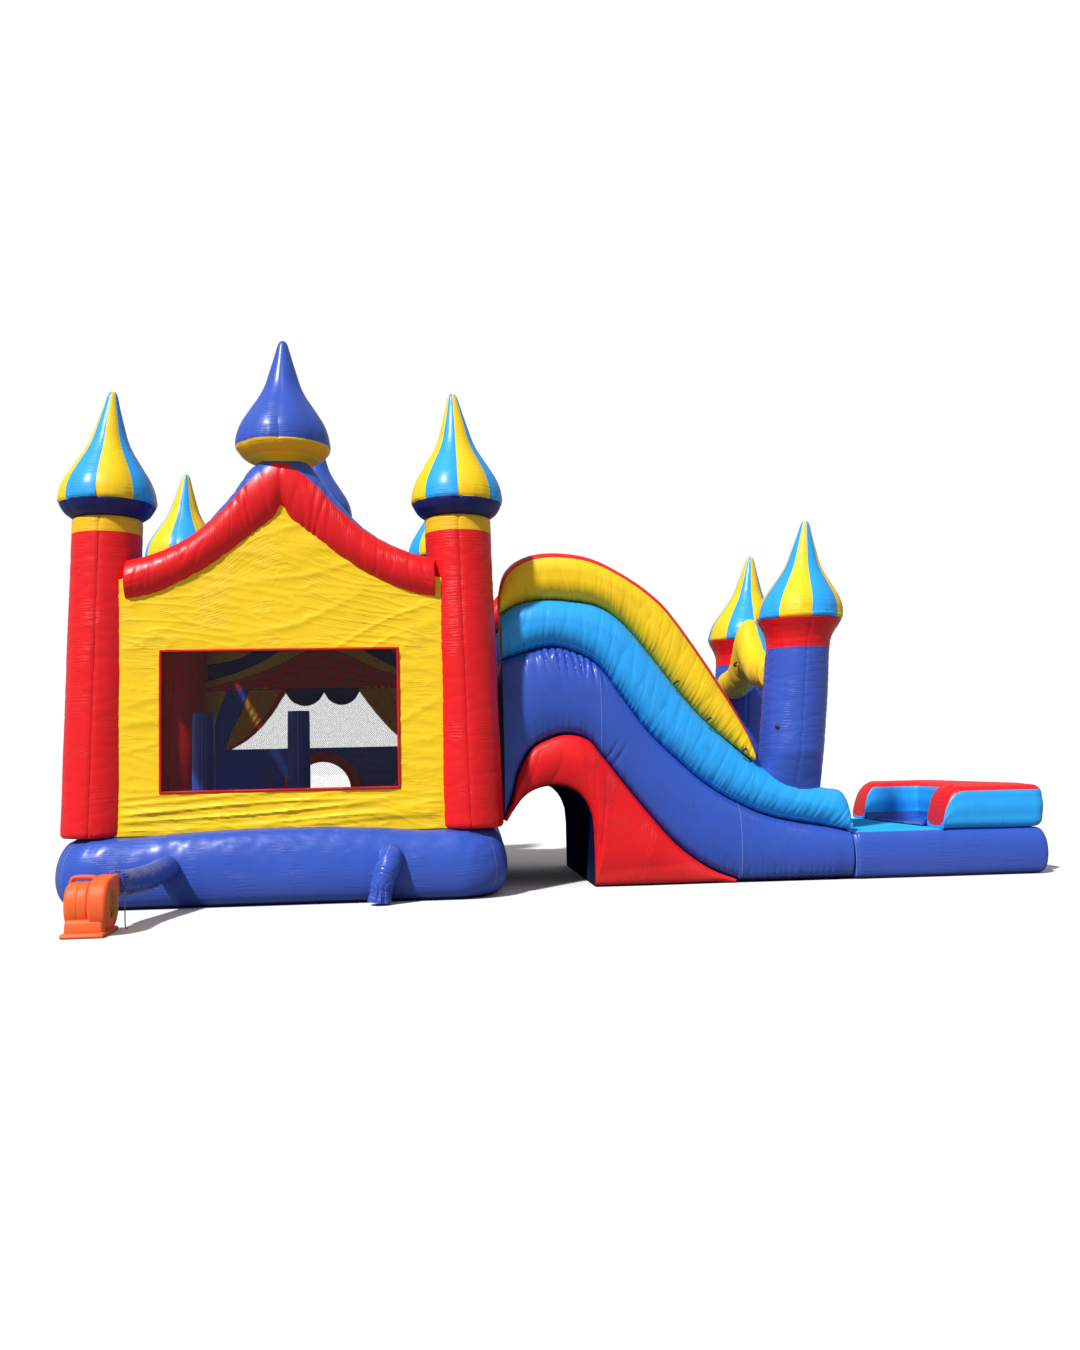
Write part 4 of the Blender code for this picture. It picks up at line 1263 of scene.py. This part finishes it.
def body_shape(u, t, side, rise, middle, tall):
    x = middle.x
    from_top = tall - rise
    top_share = max(0.0, 1 - ((x - 2.60) / 0.50) ** 2)
    if abs(side) > 1.0 and FRONT_FOOT - 0.06 < u < BACK_FOOT + 0.06:
        flat = 1 if side > 0 else -1
        height = (rise + tall) / (2 * tall)
        bulge = 0.095 * sin(pi * min(max(height, 0), 1)) ** 0.7
        pleat = gather(x + rise * 0.12, from_top, 0.070, 0.060, 0.17, 3.0) * top_share
        near_rim = gather(x, rise + tall, 0.06, 0.012, 0.12, 5.0)
        slant = (x - 3.07) * 0.55 + (middle.y + rise - 1.27) * 0.83
        crossing = (x - 3.07) * 0.83 - (middle.y + rise - 1.27) * 0.55
        crease = sum(0.020 * exp(-((crossing - off) / 0.012) ** 2) for off in (-0.03, 0.055))
        crease *= exp(-((slant / 0.11) ** 2))
        side += flat * (bulge - 0.075 + pleat + near_rim - crease)
    return side, rise


def body_paint(u, v, point):
    return NAVY if point.z < 0.05 and abs(point.y) > 1.1 else ROYAL


body = loaf("slide_body_skin", body_low, body_high, 0.0, SLIDE_HALF, 0.09, 0.0, body_paint,
            180, 340, 0.006, body_shape, (), (0.283, 0.672))
belongs(body, "royal_vinyl", "slide_body")

# %% Tunnel panel
mouth_line = walk(MOUTH)
MOUTH_END, JAMB_END = 0.46, 0.62  # shares of the panel where the mouth's arch and its jamb end
JAMB_X, JAMB_TOP = 2.855, 0.66
GROUND = 0.006
FOOT_X, TIP_X = 2.865, 4.24
RIM_MOUTH_X, RIM_JAMB_X, RIM_TIP_X = 2.90, 3.12, 4.25


def from_to(t, first, last, low, high):
    """From low to high as t goes from first to last."""
    return low + (high - low) * (t - first) / (last - first)


def tunnel_low(t):
    """Along the mouth, down its right side, then along the ground to the panel's tip."""
    if t < MOUTH_END:
        return mouth_line(t / MOUTH_END)
    if t < JAMB_END:
        share = (t - MOUTH_END) / (JAMB_END - MOUTH_END)
        return Vector((JAMB_X + 0.012 * min(share * 4, 1), JAMB_TOP + (GROUND - JAMB_TOP) * share))
    return Vector((from_to(t, JAMB_END, 1, FOOT_X, TIP_X), GROUND))


def tunnel_high(t):
    """Along the rim, a hair below the body."""
    if t < MOUTH_END:
        x = from_to(t, 0, MOUTH_END, SLIDE_X, RIM_MOUTH_X)
        return Vector((x + 0.004, rim_z(x) - 0.003))
    if t < JAMB_END:
        x = from_to(t, MOUTH_END, JAMB_END, RIM_MOUTH_X + 0.004, RIM_JAMB_X)
    else:
        x = from_to(t, JAMB_END, 1, RIM_JAMB_X, RIM_TIP_X)
    return Vector((x, rim_z(x) - 0.003))


def tunnel_shape(u, t, side, rise, middle, tall):
    if abs(side) > 1.0:
        height = (rise + tall) / (2 * tall)
        bulge = 0.09 * sin(pi * min(max(height, 0), 1)) ** 0.7 * min(tall / 0.3, 1.0)
        fan = 0.016 * folds(middle.x * 2.2 + middle.y * 3.0, height * 1.1, 8.0) ** 2 * (1 - height)
        side += (1 if side > 0 else -1) * (bulge - 0.070 - fan)
    return side, rise


# The faces inside the tunnel get the near-black lining; its darkness is painted shade.
def tunnel_paint(u, v, point):
    under = u < FRONT_FOOT - 0.03 or u > BACK_FOOT + 0.03
    return TUNNEL_LINING_PAINTED_SHADE if under and abs(point.y) < SLIDE_HALF - 0.055 else RED


tunnel = loaf("tunnel_panel_skin", tunnel_low, tunnel_high, 0.0, SLIDE_HALF, 0.05, 0.0, tunnel_paint,
              140, 260, 0.006, tunnel_shape, (0.13, 0.87), (0.40,))
belongs(tunnel, "red_vinyl", "tunnel_arch")

# %% [markdown]
# The lane is a mat with sewn channels that run down the slide.

# %% Slide lane
lane_walk = walk(LANE)


def bed_place(u, v):
    here = lane_walk(v)
    run = (lane_walk(min(v + 0.01, 1)) - lane_walk(max(v - 0.01, 0))).normalized()
    side, rise = hoop(u, LANE_HALF - 0.006, 0.016, 0.014)
    if rise > 0:
        rise -= 0.012 * (1 - abs(sin(pi * 5 * (side + LANE_HALF) / (2 * LANE_HALF))) ** 0.5)
    size = min(v / 0.004, (1 - v) / 0.004, 1.0)
    lift = 0.018 + rise * size
    return here.x - run.y * lift, side * max(size, 0.001), here.y + run.x * lift


bed = skin("slide_lane_skin", 130, 240, bed_place, plain(ROYAL), (0.452, 0.484, 0.516, 0.548))
belongs(bed, "royal_vinyl", "slide_bed")

# %% [markdown]
# The wall tubes follow the lane's curve. Where a tube bends, its inner side is gathered: below the
# bend at the top of the slide, and above it near the foot.

# %% Wall tubes
lane_line, tier_line, crest_line = walk(LANE), walk(TIER), walk(CREST)
tier_join = walk([p for p in TIER if p.x <= 4.48])


def tube_shape(seed, low_depth, high_depth):
    """The cloth gathers along its lower and upper seams."""
    def shape(u, t, side, rise, middle, tall):
        along = middle.x + middle.y * -0.8
        low = gather(along, rise + tall, 0.055, low_depth, 0.13, seed)
        high = gather(along, tall - rise, 0.060, high_depth, 0.10, seed + 4)
        soft = 0.006 * swell(along * 2, rise * 4, seed + 1)
        crease = 0.007 * folds(along * 5.0, rise * 0.8, seed + 9) ** 4
        squeeze = 1 + (low + high + soft - crease) / 0.25
        return side * squeeze, rise * (1 + (low + high) / tall * 0.35)

    return shape


for side, name in ((-1, "near"), (1, "far")):
    middle = side * (LANE_HALF + SLIDE_HALF) / 2
    lower = loaf(f"lower_wall_tube_{name}", lane_line, tier_line, middle, 0.252, 0.21, 0.0,
                 plain(SKY), 80, 300, 0.008, tube_shape(40 + side, 0.018, 0.006),
                 (0.13, 0.87))
    belongs(lower, "sky_vinyl", f"slide_wall_lower_{name}")

    def upper_paint(u, v, point, side=side):
        outside = u < 0.388 if side < 0 else u > 0.612
        return YELLOW if outside else RED

    upper = loaf(f"upper_wall_tube_{name}", tier_join, crest_line, middle, 0.215, 0.19, 0.0,
                 upper_paint, 80, 260, 0.008, tube_shape(50 + side, 0.016, 0.004),
                 (0.13, 0.87))
    belongs(upper, "yellow_vinyl", f"slide_wall_upper_{name}")

# %% [markdown]
# ## End towers and their arch
#
# Two short towers stand on the tubes at the foot of the slide, with a yellow arch between them. A
# red collar flares under each dome: a straight strip first, then a wide lip.

# %% End towers
END_R = 0.315
END_Y = 1.05
LIP_Z = 2.555


def end_x(z):
    """The towers stand at this X at a height: they lean outwards as they rise."""
    return 4.86 + 0.10 * (z - 1.0)


for side, name in ((-1, "near"), (1, "far")):
    y = side * END_Y
    outline = [Vector(p) for p in ((0, 0.70), (END_R - 0.03, 0.70), (END_R - 0.005, 0.74))]
    outline += [Vector((END_R + 0.006 * sin(pi * i / 14), 0.78 + i * 0.105)) for i in range(15)]
    outline += curve([(0.317, 2.28), (0.322, 2.36), (0.345, 2.43), (0.385, 2.50), (0.418, LIP_Z)])
    outline += [Vector((0.40, LIP_Z + 0.004)), Vector((0, LIP_Z + 0.006))]

    def end_shape(angle, v, radius, z, seed=60 + side):
        sink = grooves(angle, 4, 0.006, 0.04) + 0.005 * swell(angle, z * 2, seed)
        sink -= 0.004 * folds(angle * 0.8, z * 13.0, seed + 2) ** 3
        sink += gather(angle * END_R, abs(z - 2.27), 0.03, 0.008, 0.05, seed)
        return radius + sink * min(radius / END_R, 1.0), z

    piece = turned(f"end_tower_skin_{name}", outline, lambda z, y=y: (end_x(z), y),
                   lambda u, v, p: RED if p.z > 2.272 else ROYAL, 96, 190, end_shape, (), 0)
    for vertex in piece.data.vertices:
        share = min(max((vertex.co.z - 0.90) / 0.35, 0.0), 1.0)
        vertex.co.y = y + (vertex.co.y - y) * (0.62 + 0.38 * share)
    belongs(piece, "royal_vinyl", f"end_tower_{name}")
    dome_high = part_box(f"end_dome_{name}")[1].z
    profile = dome_profile(0.425, 2.60, dome_high, [(0.415, 2.570), (0.395, LIP_Z + 0.004)])
    profile += [Vector((0, LIP_Z + 0.004))]
    first, second = (SKY, YELLOW) if side < 0 else (YELLOW, SKY)
    paint = striped(first, second, 0, 2.0, RED)
    dome = turned(f"end_onion_{name}", profile, lambda z, y=y: (end_x(z), y), paint, 96, 120,
                  gore_shape(8, 70 + side, 2.62))
    belongs(dome, "sky_vinyl", f"end_dome_{name}")

# %% End arch
END_ARCH_X = 4.80
END_ARCH_R = 0.175
END_ARCH_HALF = 0.88
END_OVER = curve([(0, 2.70), (0.08, 2.64), (0.20, 2.49), (0.36, 2.33), (0.56, 2.25), (0.88, 2.21)])
END_UNDER = curve([(0, 2.13), (0.08, 2.10), (0.20, 2.01), (0.36, 1.93), (0.56, 1.89), (0.88, 1.87)])
end_over, end_under = level(END_OVER), level(END_UNDER)


def end_arch_place(u, v):
    cap = 0.015
    t, size = capped(v, cap)
    y = END_ARCH_HALF * (2 * t - 1)
    top, foot = end_over(abs(y)), end_under(abs(y))
    angle = tau * u - pi / 2
    valley = 0.12 * exp(-((y / 0.05) ** 2)) * max(-sin(angle), 0)
    full = 1 - 0.05 * folds(y * 6, angle * 0.4, 3.0) ** 3 - valley
    x = END_ARCH_X - END_ARCH_R * cos(angle) * full * size
    return x, y, (top + foot) / 2 + (top - foot) / 2 * sin(angle) * full * size


end_arch = skin("end_arch_tube", 72, 150, end_arch_place,
                lambda u, v, p: SKY if p.x > END_ARCH_X + 0.04 else YELLOW)
belongs(end_arch, "yellow_vinyl", "end_arch")

# %% [markdown]
# ## The splash pool
#
# The pool's base is one wide chamber in royal blue with a sky-blue deck. On it lies a U of thick
# wall, whose front ends round down to the deck; a red strip runs over the wall's top and down
# those ends. Between the arms lies a loose liner, which turns up a little at the wall.

# %% Pool base
POOL_LOW, POOL_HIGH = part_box("pool_base")
pool_mid = (POOL_LOW + POOL_HIGH) / 2
DECK_Z = POOL_HIGH.z


POOL_SIDE = curve([
    (0.06, 0.004), (0.02, 0.05), (0.0, 0.14), (-0.005, 0.24), (0.005, 0.34), (0.03, 0.42), (0.06, 0.452),
])
side_line = walk([
    Vector((1.3, 0.004)), Vector((0.2, 0.004)), *POOL_SIDE, Vector((0.2, 0.465)), Vector((1.3, 0.46)),
])


def pool_place(u, v):
    """Hoops in plan, one above the other, closed over the underside and the deck."""
    inset, z = side_line(v)
    half_x, half_y = pool_mid.x - POOL_LOW.x - 0.001, SLIDE_HALF
    x, y = hoop(u, half_x, half_y, 0.07)
    shrink_x = 1 - inset / half_x
    shrink_y = 1 - inset / half_y
    if inset > 0.2:
        shrink_x = shrink_y = (1 - 0.2 / half_y) * (1 - (inset - 0.2) / (1.3 - 0.2))
    swollen = 1 + 0.0035 * swell(x * 2, y * 2, z * 4)
    at_seam = gather(x + y, abs(z - 0.44), 0.04, 0.007, 0.06, 9.0)
    y_out = y * shrink_y * swollen + (at_seam * (1 if y > 0 else -1) if inset < 0.1 else 0)
    x_out = x * shrink_x
    if x < 0 and inset < 0.1:
        x_out = x
    return pool_mid.x + x_out, y_out, z


def pool_paint(u, v, point):
    if point.z < 0.032:
        return NAVY
    return DECK if point.z > 0.449 else ROYAL


pool = skin("pool_base_skin", 240, 130, pool_place, pool_paint, (0.13, 0.87))
belongs(pool, "royal_vinyl", "pool_base")

# %% Pool wall
WALL_LOW, WALL_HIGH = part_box("pool_wall")
ARM = 0.44
OUTER_R, INNER_R = 0.12, 0.05
CORNER = 0.29  # share of the U where an outer corner ends


def u_line(half_y, end_x, radius):
    """One side of the U in plan: a function of the share, with the corner between fixed shares."""
    turns = [pi / 2 * i / 12 for i in range(13)]
    corner = [
        Vector((end_x - radius + radius * sin(turn), -half_y + radius - radius * cos(turn)))
        for turn in turns
    ]
    bend = walk(corner)

    def at(share):
        mirrored = share > 0.5
        share = 1 - share if mirrored else share
        if share < 0.25:
            spot = Vector((WALL_LOW.x, -half_y)).lerp(corner[0], share / 0.25)
        elif share < CORNER:
            spot = bend((share - 0.25) / (CORNER - 0.25))
        else:
            spot = corner[-1].lerp(Vector((end_x, 0)), (share - CORNER) / (0.5 - CORNER))
        return Vector((spot.x, -spot.y)) if mirrored else spot

    return at


outer_line = u_line(SLIDE_HALF - 0.012, WALL_HIGH.x - 0.012, OUTER_R)
inner_line = u_line(SLIDE_HALF - ARM + 0.012, WALL_HIGH.x - ARM + 0.012, INNER_R)
ARM_LENGTH = WALL_HIGH.x - WALL_LOW.x


def pool_wall_place(u, v):
    cap = 0.004
    t, size = capped(v, cap)
    outer, inner = outer_line(t), inner_line(t)
    end = min(t, 1 - t) / 0.25 * ARM_LENGTH
    nose = sqrt(max(1 - (1 - min(end / 0.26, 1)) ** 2, 0))
    tall = (WALL_HIGH.z - WALL_LOW.z) * (0.12 + 0.88 * nose) / 2
    half = (outer - inner).length / 2
    side, rise = hoop(u, half, tall, 0.085, 0.012 * nose)
    rise += 0.012 * nose * (rise > 0) * (1 - (side / half) ** 2)
    fold = gather(t * 5.2, abs(rise - tall), 0.06, 0.008, 0.06, 3.0)
    side *= 1 + fold * 3 + 0.02 * swell(t * 9, rise * 4, 6.0)
    spot = (outer + inner) / 2 + (inner - outer).normalized() * side * size
    return spot.x, spot.y, WALL_LOW.z + tall + rise * size


def pool_wall_paint(u, v, point):
    return RED if FRONT_TOP + 0.02 < u < BACK_TOP - 0.02 else SKY


pool_wall = skin("pool_wall_skin", 100, 420, pool_wall_place, pool_wall_paint)
belongs(pool_wall, "sky_vinyl", "pool_wall")

# %% Pool liner
LINER_TURN = 0.07


def liner_place(u, v):
    half_x = (WALL_HIGH.x - ARM - WALL_LOW.x) / 2
    half_y = SLIDE_HALF - ARM - 0.01
    across, along = 2 * u - 1, 2 * v - 1
    edge = max(max(across, 0), abs(along))
    up = max(edge - 0.90, 0) / 0.10
    x = WALL_LOW.x + half_x + half_x * min(max(across, -1), 0.97)
    y = half_y * min(max(along, -0.985), 0.985)
    ripple = 0.006 * folds(x * 4, y * 3, 2.0) ** 2 + 0.008 * swell(x * 3, y * 3, 5.0)
    return x, y, DECK_Z + 0.012 + ripple + LINER_TURN * min(up, 1.0) ** 1.2


LINER = vinyl("wet look liner vinyl", (0.02, 0.075, 0.42), (0.25, 0.35, 0.7), gloss=0.16, crease=1.6)
liner = thicken(open_skin("pool_liner", 90, 110, liner_place, plain(LINER)), 0.004)
belongs(liner, "royal_vinyl", fill=0)

# %% [markdown]
# ## Blower
#
# The blower's case is moulded in orange plastic: a drum for the fan, a wider ribbed cover for the
# motor, a flat foot and a handle. Plastic of this kind has a fine grain, a soft gloss and scuffed,
# paler edges.

# %% Plastics, metals and webbing
def moulded(name, colour, rough=0.38, grain=900.0):
    """Moulded plastic with a fine grain, uneven gloss and paler scuffs."""
    made = Finish(name, {"Specular IOR Level": 0.35})
    where = made.where()
    cloud = made.noise(where, 9.0, 3.0)
    grit = made.noise(where, grain, 1.0)
    scuff = made.noise(made.stretch(where, (60.0, 260.0, 60.0)), 1.0, 2.0).within(0.34, 0.28)
    tone = made.mix(cloud, shade(colour, 0.88), shade(colour, 1.10))
    tone = made.mix(scuff * 0.08, tone, shade([part * 0.6 + 0.35 for part in colour], 1.0))
    made.feed("Base Color", tone)
    made.feed("Roughness", rough + (cloud - 0.5) * 0.18 + scuff * 0.15)
    made.bump(grit * 0.6 + scuff * -0.5, 0.0006, 0.6)
    return made.material


def brushed(name, colour, rough=0.30):
    made = Finish(name, {"Metallic": 1.0})
    where = made.where()
    streak = made.noise(made.stretch(where, (40.0, 900.0, 900.0)), 1.0, 2.0)
    cloud = made.noise(where, 40.0, 3.0)
    made.feed("Base Color", made.mix(cloud, shade(colour, 0.8), shade(colour, 1.05)))
    made.feed("Roughness", rough + (streak - 0.5) * 0.22 + (cloud - 0.5) * 0.1)
    made.bump(streak, 0.0003, 0.5)
    return made.material


def woven(name, colour, pitch=0.0022):
    """Nylon webbing: ribs across the tape, crossed by finer ones."""
    made = Finish(name, {"Roughness": 0.8, "Sheen Weight": 0.3})
    where = made.where()
    x, z = made.height(where, 0) + made.height(where, 1), made.height(where, 2)
    rib = abs(((x / pitch) + 900.0).part() - 0.5) * 2.0
    cross = abs(((z / (pitch * 0.7)) + 900.0).part() - 0.5) * 2.0
    weave = rib * 0.6 + cross * 0.4
    made.feed("Base Color", made.mix(weave, shade(colour, 0.55), shade(colour, 1.2)))
    made.bump(weave, 0.0008, 0.8)
    return made.material


ORANGE = moulded("orange moulded plastic", (0.90, 0.115, 0.003), 0.36)
GRILLE = moulded("yellow brown plastic", (0.60, 0.27, 0.03), 0.5)
GREY = moulded("grey plastic", (0.14, 0.14, 0.15), 0.5)
BLACK = moulded("black plastic", (0.015, 0.015, 0.016), 0.42)
MOTOR = brushed("cast motor metal", (0.42, 0.43, 0.45), 0.42)
STEEL = brushed("zinc plated steel", (0.72, 0.72, 0.74), 0.26)
WEBBING = woven("blue webbing", (0.03, 0.06, 0.30))
BLACK_WEBBING = woven("black webbing", (0.012, 0.012, 0.014))
print("hard materials ready")

# %% Blower case
FAN_Y, FAN_Z = -3.42, 0.225
case_profile = [
    (-1.382, 0.0), (-1.382, 0.120), (-1.380, 0.135), (-1.374, 0.152), (-1.362, 0.163), (-1.345, 0.168),
    (-1.290, 0.170), (-1.286, 0.166), (-1.280, 0.166), (-1.276, 0.170), (-1.225, 0.170), (-1.215, 0.166),
    (-1.208, 0.160), (-1.202, 0.168), (-1.198, 0.182), (-1.190, 0.190), (-1.175, 0.195), (-1.100, 0.195),
    (-1.082, 0.191), (-1.070, 0.180), (-1.065, 0.165), (-1.065, 0.118), (-1.070, 0.114), (-1.082, 0.113),
]
case_walk = walk(curve([(x, r) for x, r in case_profile], 4))


def case_place(u, v):
    x, radius = case_walk(v)
    angle = tau * u
    square = 1 + 0.05 * abs(sin(2 * angle)) ** 2
    y, z = -radius * cos(angle) * square, radius * sin(angle) * square
    return x, FAN_Y + y, max(FAN_Z + z, 0.012)


case = open_skin("blower_case", 96, 200, case_place, plain(ORANGE))
thicken(case, 0.004)
belongs(case, "orange_plastic", "blower_housing", fill=0)


def rounded_box(name, low, high, bevel, material, segments=4):
    """A moulded box: a cube shaped to its corners with rounded edges and a drafted top."""
    bpy.ops.object.select_all(action="DESELECT")
    bpy.ops.mesh.primitive_cube_add(size=1)
    piece = bpy.context.object
    piece.name = piece.data.name = name
    low, high = Vector(low), Vector(high)
    for vertex in piece.data.vertices:
        share = vertex.co + Vector((0.5, 0.5, 0.5))
        spot = Vector([low[i] + (high[i] - low[i]) * share[i] for i in range(3)])
        if share.z > 0.5:
            centre = (low + high) / 2
            spot.x += (centre.x - spot.x) * 0.04
            spot.y += (centre.y - spot.y) * 0.04
        vertex.co = spot
    edge = piece.modifiers.new("round", "BEVEL")
    edge.width = bevel
    edge.segments = segments
    bpy.ops.object.modifier_apply(modifier=edge.name)
    bpy.ops.object.shade_smooth_by_angle(angle=radians(40))
    piece.data.materials.append(material)
    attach(piece, "inflatable")
    return piece


for name, low, high, bevel in (
    ("blower_foot", (-1.390, -3.655, 0.002), (-1.070, -3.19, 0.036), 0.014),
    ("blower_foot_riser", (-1.375, -3.60, 0.02), (-1.085, -3.25, 0.13), 0.03),
    ("blower_outlet", (-1.215, -3.40, 0.262), (-1.068, -3.182, 0.424), 0.018),
    ("switch_bezel", (-1.392, FAN_Y - 0.020, 0.266), (-1.374, FAN_Y + 0.020, 0.314), 0.003),
):
    rounded_box(name, low, high, bevel, ORANGE)
handle = [(-1.365, FAN_Y, 0.345), (-1.362, FAN_Y, 0.395), (-1.345, FAN_Y, 0.421), (-1.300, FAN_Y, 0.428),
          (-1.235, FAN_Y, 0.427), (-1.195, FAN_Y, 0.421), (-1.170, FAN_Y, 0.405)]
grip = binding("blower_handle", [(p.x, p.y, p.z) for p in curve(handle, 6)], False, 0.015, ORANGE)
for vertex in grip.data.vertices:
    vertex.co.y = FAN_Y + (vertex.co.y - FAN_Y) * 2.6
belongs(grip, "orange_plastic", fill=0)

# %% [markdown]
# The inlet has a guard of rings and spokes, so that nothing gets to the fan.

# %% Inlet guard
bpy.ops.object.select_all(action="DESELECT")
rings = []
for radius in (0.020, 0.043, 0.066, 0.089, 0.110):
    bpy.ops.mesh.primitive_torus_add(
        major_radius=radius, minor_radius=0.0032 if radius < 0.1 else 0.006,
        major_segments=64, minor_segments=10, location=(-1.066, FAN_Y, FAN_Z), rotation=(0, pi / 2, 0),
    )
    rings.append(bpy.context.object)
for i in range(8):
    angle = tau * i / 8
    spot = (-1.066, FAN_Y + 0.063 * cos(angle), FAN_Z + 0.063 * sin(angle))
    bpy.ops.mesh.primitive_cylinder_add(vertices=10, radius=0.003, depth=0.094, location=spot,
                                        rotation=(angle - pi / 2, 0, 0))
    rings.append(bpy.context.object)
for piece in rings:
    piece.select_set(True)
bpy.context.view_layer.objects.active = rings[0]
bpy.ops.object.join()
guard = bpy.context.object
guard.name = guard.data.name = "inlet_guard"
bpy.ops.object.transform_apply(location=True, rotation=True, scale=True)
bpy.ops.object.shade_smooth_by_angle(angle=radians(50))
guard.data.materials.append(GRILLE)
belongs(guard, "grille_plastic", "inlet_grille", fill=0)

# %% [markdown]
# ## Fabric tubes
#
# A sleeve of the same cloth brings the air from the blower's outlet; a strap ties it there and its
# tail hangs to the ground. A second sleeve lets the air out at the end of the day; in use its mouth
# is gathered and tied.

# %% Sleeves and ties
SLEEVE_ROUTE = curve([
    (-0.97, -1.94, 0.36), (-0.97, -2.10, 0.36), (-1.02, -2.45, 0.33), (-1.09, -2.80, 0.32),
    (-1.135, -3.05, 0.34), (-1.14, -3.20, 0.344),
])


def sleeve_radius(t):
    neck = 0.024 * exp(-(((t - 0.94) / 0.02) ** 2))
    return 0.104 - neck


sleeve = tube("inflation_sleeve", SLEEVE_ROUTE, sleeve_radius, plain(ROYAL), 64, 190,
              lambda a, t: gather(a * 0.1, (0.94 - t) * 1.3, 0.022, 0.016, 0.12, 2.0)
              + 0.003 * swell(a, t * 9, 1.0) - 0.004 * folds(a * 0.5, t * 14, 3.0) ** 3, (0.25, 0.75))
belongs(sleeve, "royal_vinyl", "inflation_tube")
strap_at = walk(SLEEVE_ROUTE)(0.94)
STRAP_R, TIE_R = 0.083, 0.080
turns = [tau * i / 48 for i in range(48)]
strap = binding("inflation_strap", [
    (strap_at.x + STRAP_R * cos(turn), strap_at.y + 0.004 * sin(2 * turn), strap_at.z + STRAP_R * sin(turn))
    for turn in turns], True, 0.006, WEBBING)
belongs(strap, "webbing", fill=0)
tail = curve([(strap_at.x + 0.06, strap_at.y - 0.02, strap_at.z - 0.055),
              (strap_at.x + 0.095, strap_at.y - 0.03, 0.24), (strap_at.x + 0.10, strap_at.y - 0.03, 0.12),
              (strap_at.x + 0.105, strap_at.y - 0.035, 0.02), (strap_at.x + 0.125, strap_at.y - 0.05, 0.006)])
PALE = woven("pale blue webbing", (0.22, 0.36, 0.75))
tail_piece = binding("inflation_strap_tail", [tuple(p) for p in tail], False, 0.005, PALE)
belongs(tail_piece, "webbing", fill=0)

VENT_ROUTE = curve([
    (0.95, -1.94, 0.40), (0.95, -2.03, 0.395), (0.935, -2.095, 0.34), (0.90, -2.115, 0.24),
    (0.87, -2.115, 0.13), (0.86, -2.115, 0.022),
])


def vent_radius(t):
    return 0.112 - 0.010 * t + 0.012 * max(t - 0.85, 0) / 0.15


vent = tube("deflation_sleeve", VENT_ROUTE, vent_radius, plain(ROYAL), 64, 150,
            lambda a, t: gather(a * 0.09, (1 - t) * 0.45, 0.020, 0.022, 0.12, 5.0)
            + 0.004 * swell(a, t * 6, 4.0) - 0.005 * folds(a * 0.5, t * 9, 8.0) ** 3, (0.25, 0.75))
belongs(vent, "royal_vinyl", "deflation_tube")
tie_at = walk(VENT_ROUTE)(0.80)
tie = binding("deflation_tie", [
    (tie_at.x + TIE_R * cos(turn), tie_at.y + TIE_R * sin(turn), tie_at.z + 0.006 * sin(4 * turn))
    for turn in turns], True, 0.005, WEBBING)
belongs(tie, "webbing", fill=0)

# %% [markdown]
# ## Hose loops, anchors and zip
#
# Small black loops of webbing are sewn along the slide for a water hose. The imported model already
# has the anchor tabs, rings, zip and switch at their true shape, so those only get their finish.

# %% Hose loops
def hose_loop(name, spot, along, out):
    """A strap end that stands off the cloth in a small arch from spot, running along a way."""
    spot, along, out = Vector(spot), Vector(along).normalized(), Vector(out).normalized()
    dots = []
    for step in range(11):
        t = step / 10
        dots.append(spot + along * (0.060 * (t - 0.5)) + out * (0.030 * sin(pi * t) - 0.004))
    piece = binding(name, [tuple(p) for p in dots], False, 0.011, BLACK_WEBBING)
    belongs(piece, "webbing", fill=0)


for number, x in enumerate((3.70, 4.01, 4.35)):
    for side, name in ((-1, "near"), (1, "far")):
        spot = (x, side * 1.262, tier_z(x) + 0.012)
        hose_loop(f"hose_loop_{name}_{number + 1}", spot, (0.8, 0, 0.45), (0, side, 0.2))
hose_loop("hose_loop_end_tower", (4.69, -END_Y - 0.225, 1.50), (0.7, -0.5, -0.5), (-0.7, -0.7, 0))
hose_loop("hose_loop_end_arch", (END_ARCH_X - 0.155, 0.05, 2.22), (0, 0.6, -0.6), (-0.9, 0, -0.4))

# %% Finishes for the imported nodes
FINISHES = {
    "anchor_tab": WEBBING, "anchor_ring": STEEL, "zip_tape": BLACK_WEBBING, "zip_slider": STEEL,
    "blower_switch": BLACK, "cord_gland": BLACK, "impeller": GREY, "blower_motor": MOTOR,
}
for name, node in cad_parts.items():
    for start, material in FINISHES.items():
        if name.startswith(start):
            node.data.materials.clear()
            node.data.materials.append(material)
print("shown nodes:", sorted(n for n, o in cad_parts.items() if not o.hide_render))

# %% Finish
bpy.context.view_layer.update()
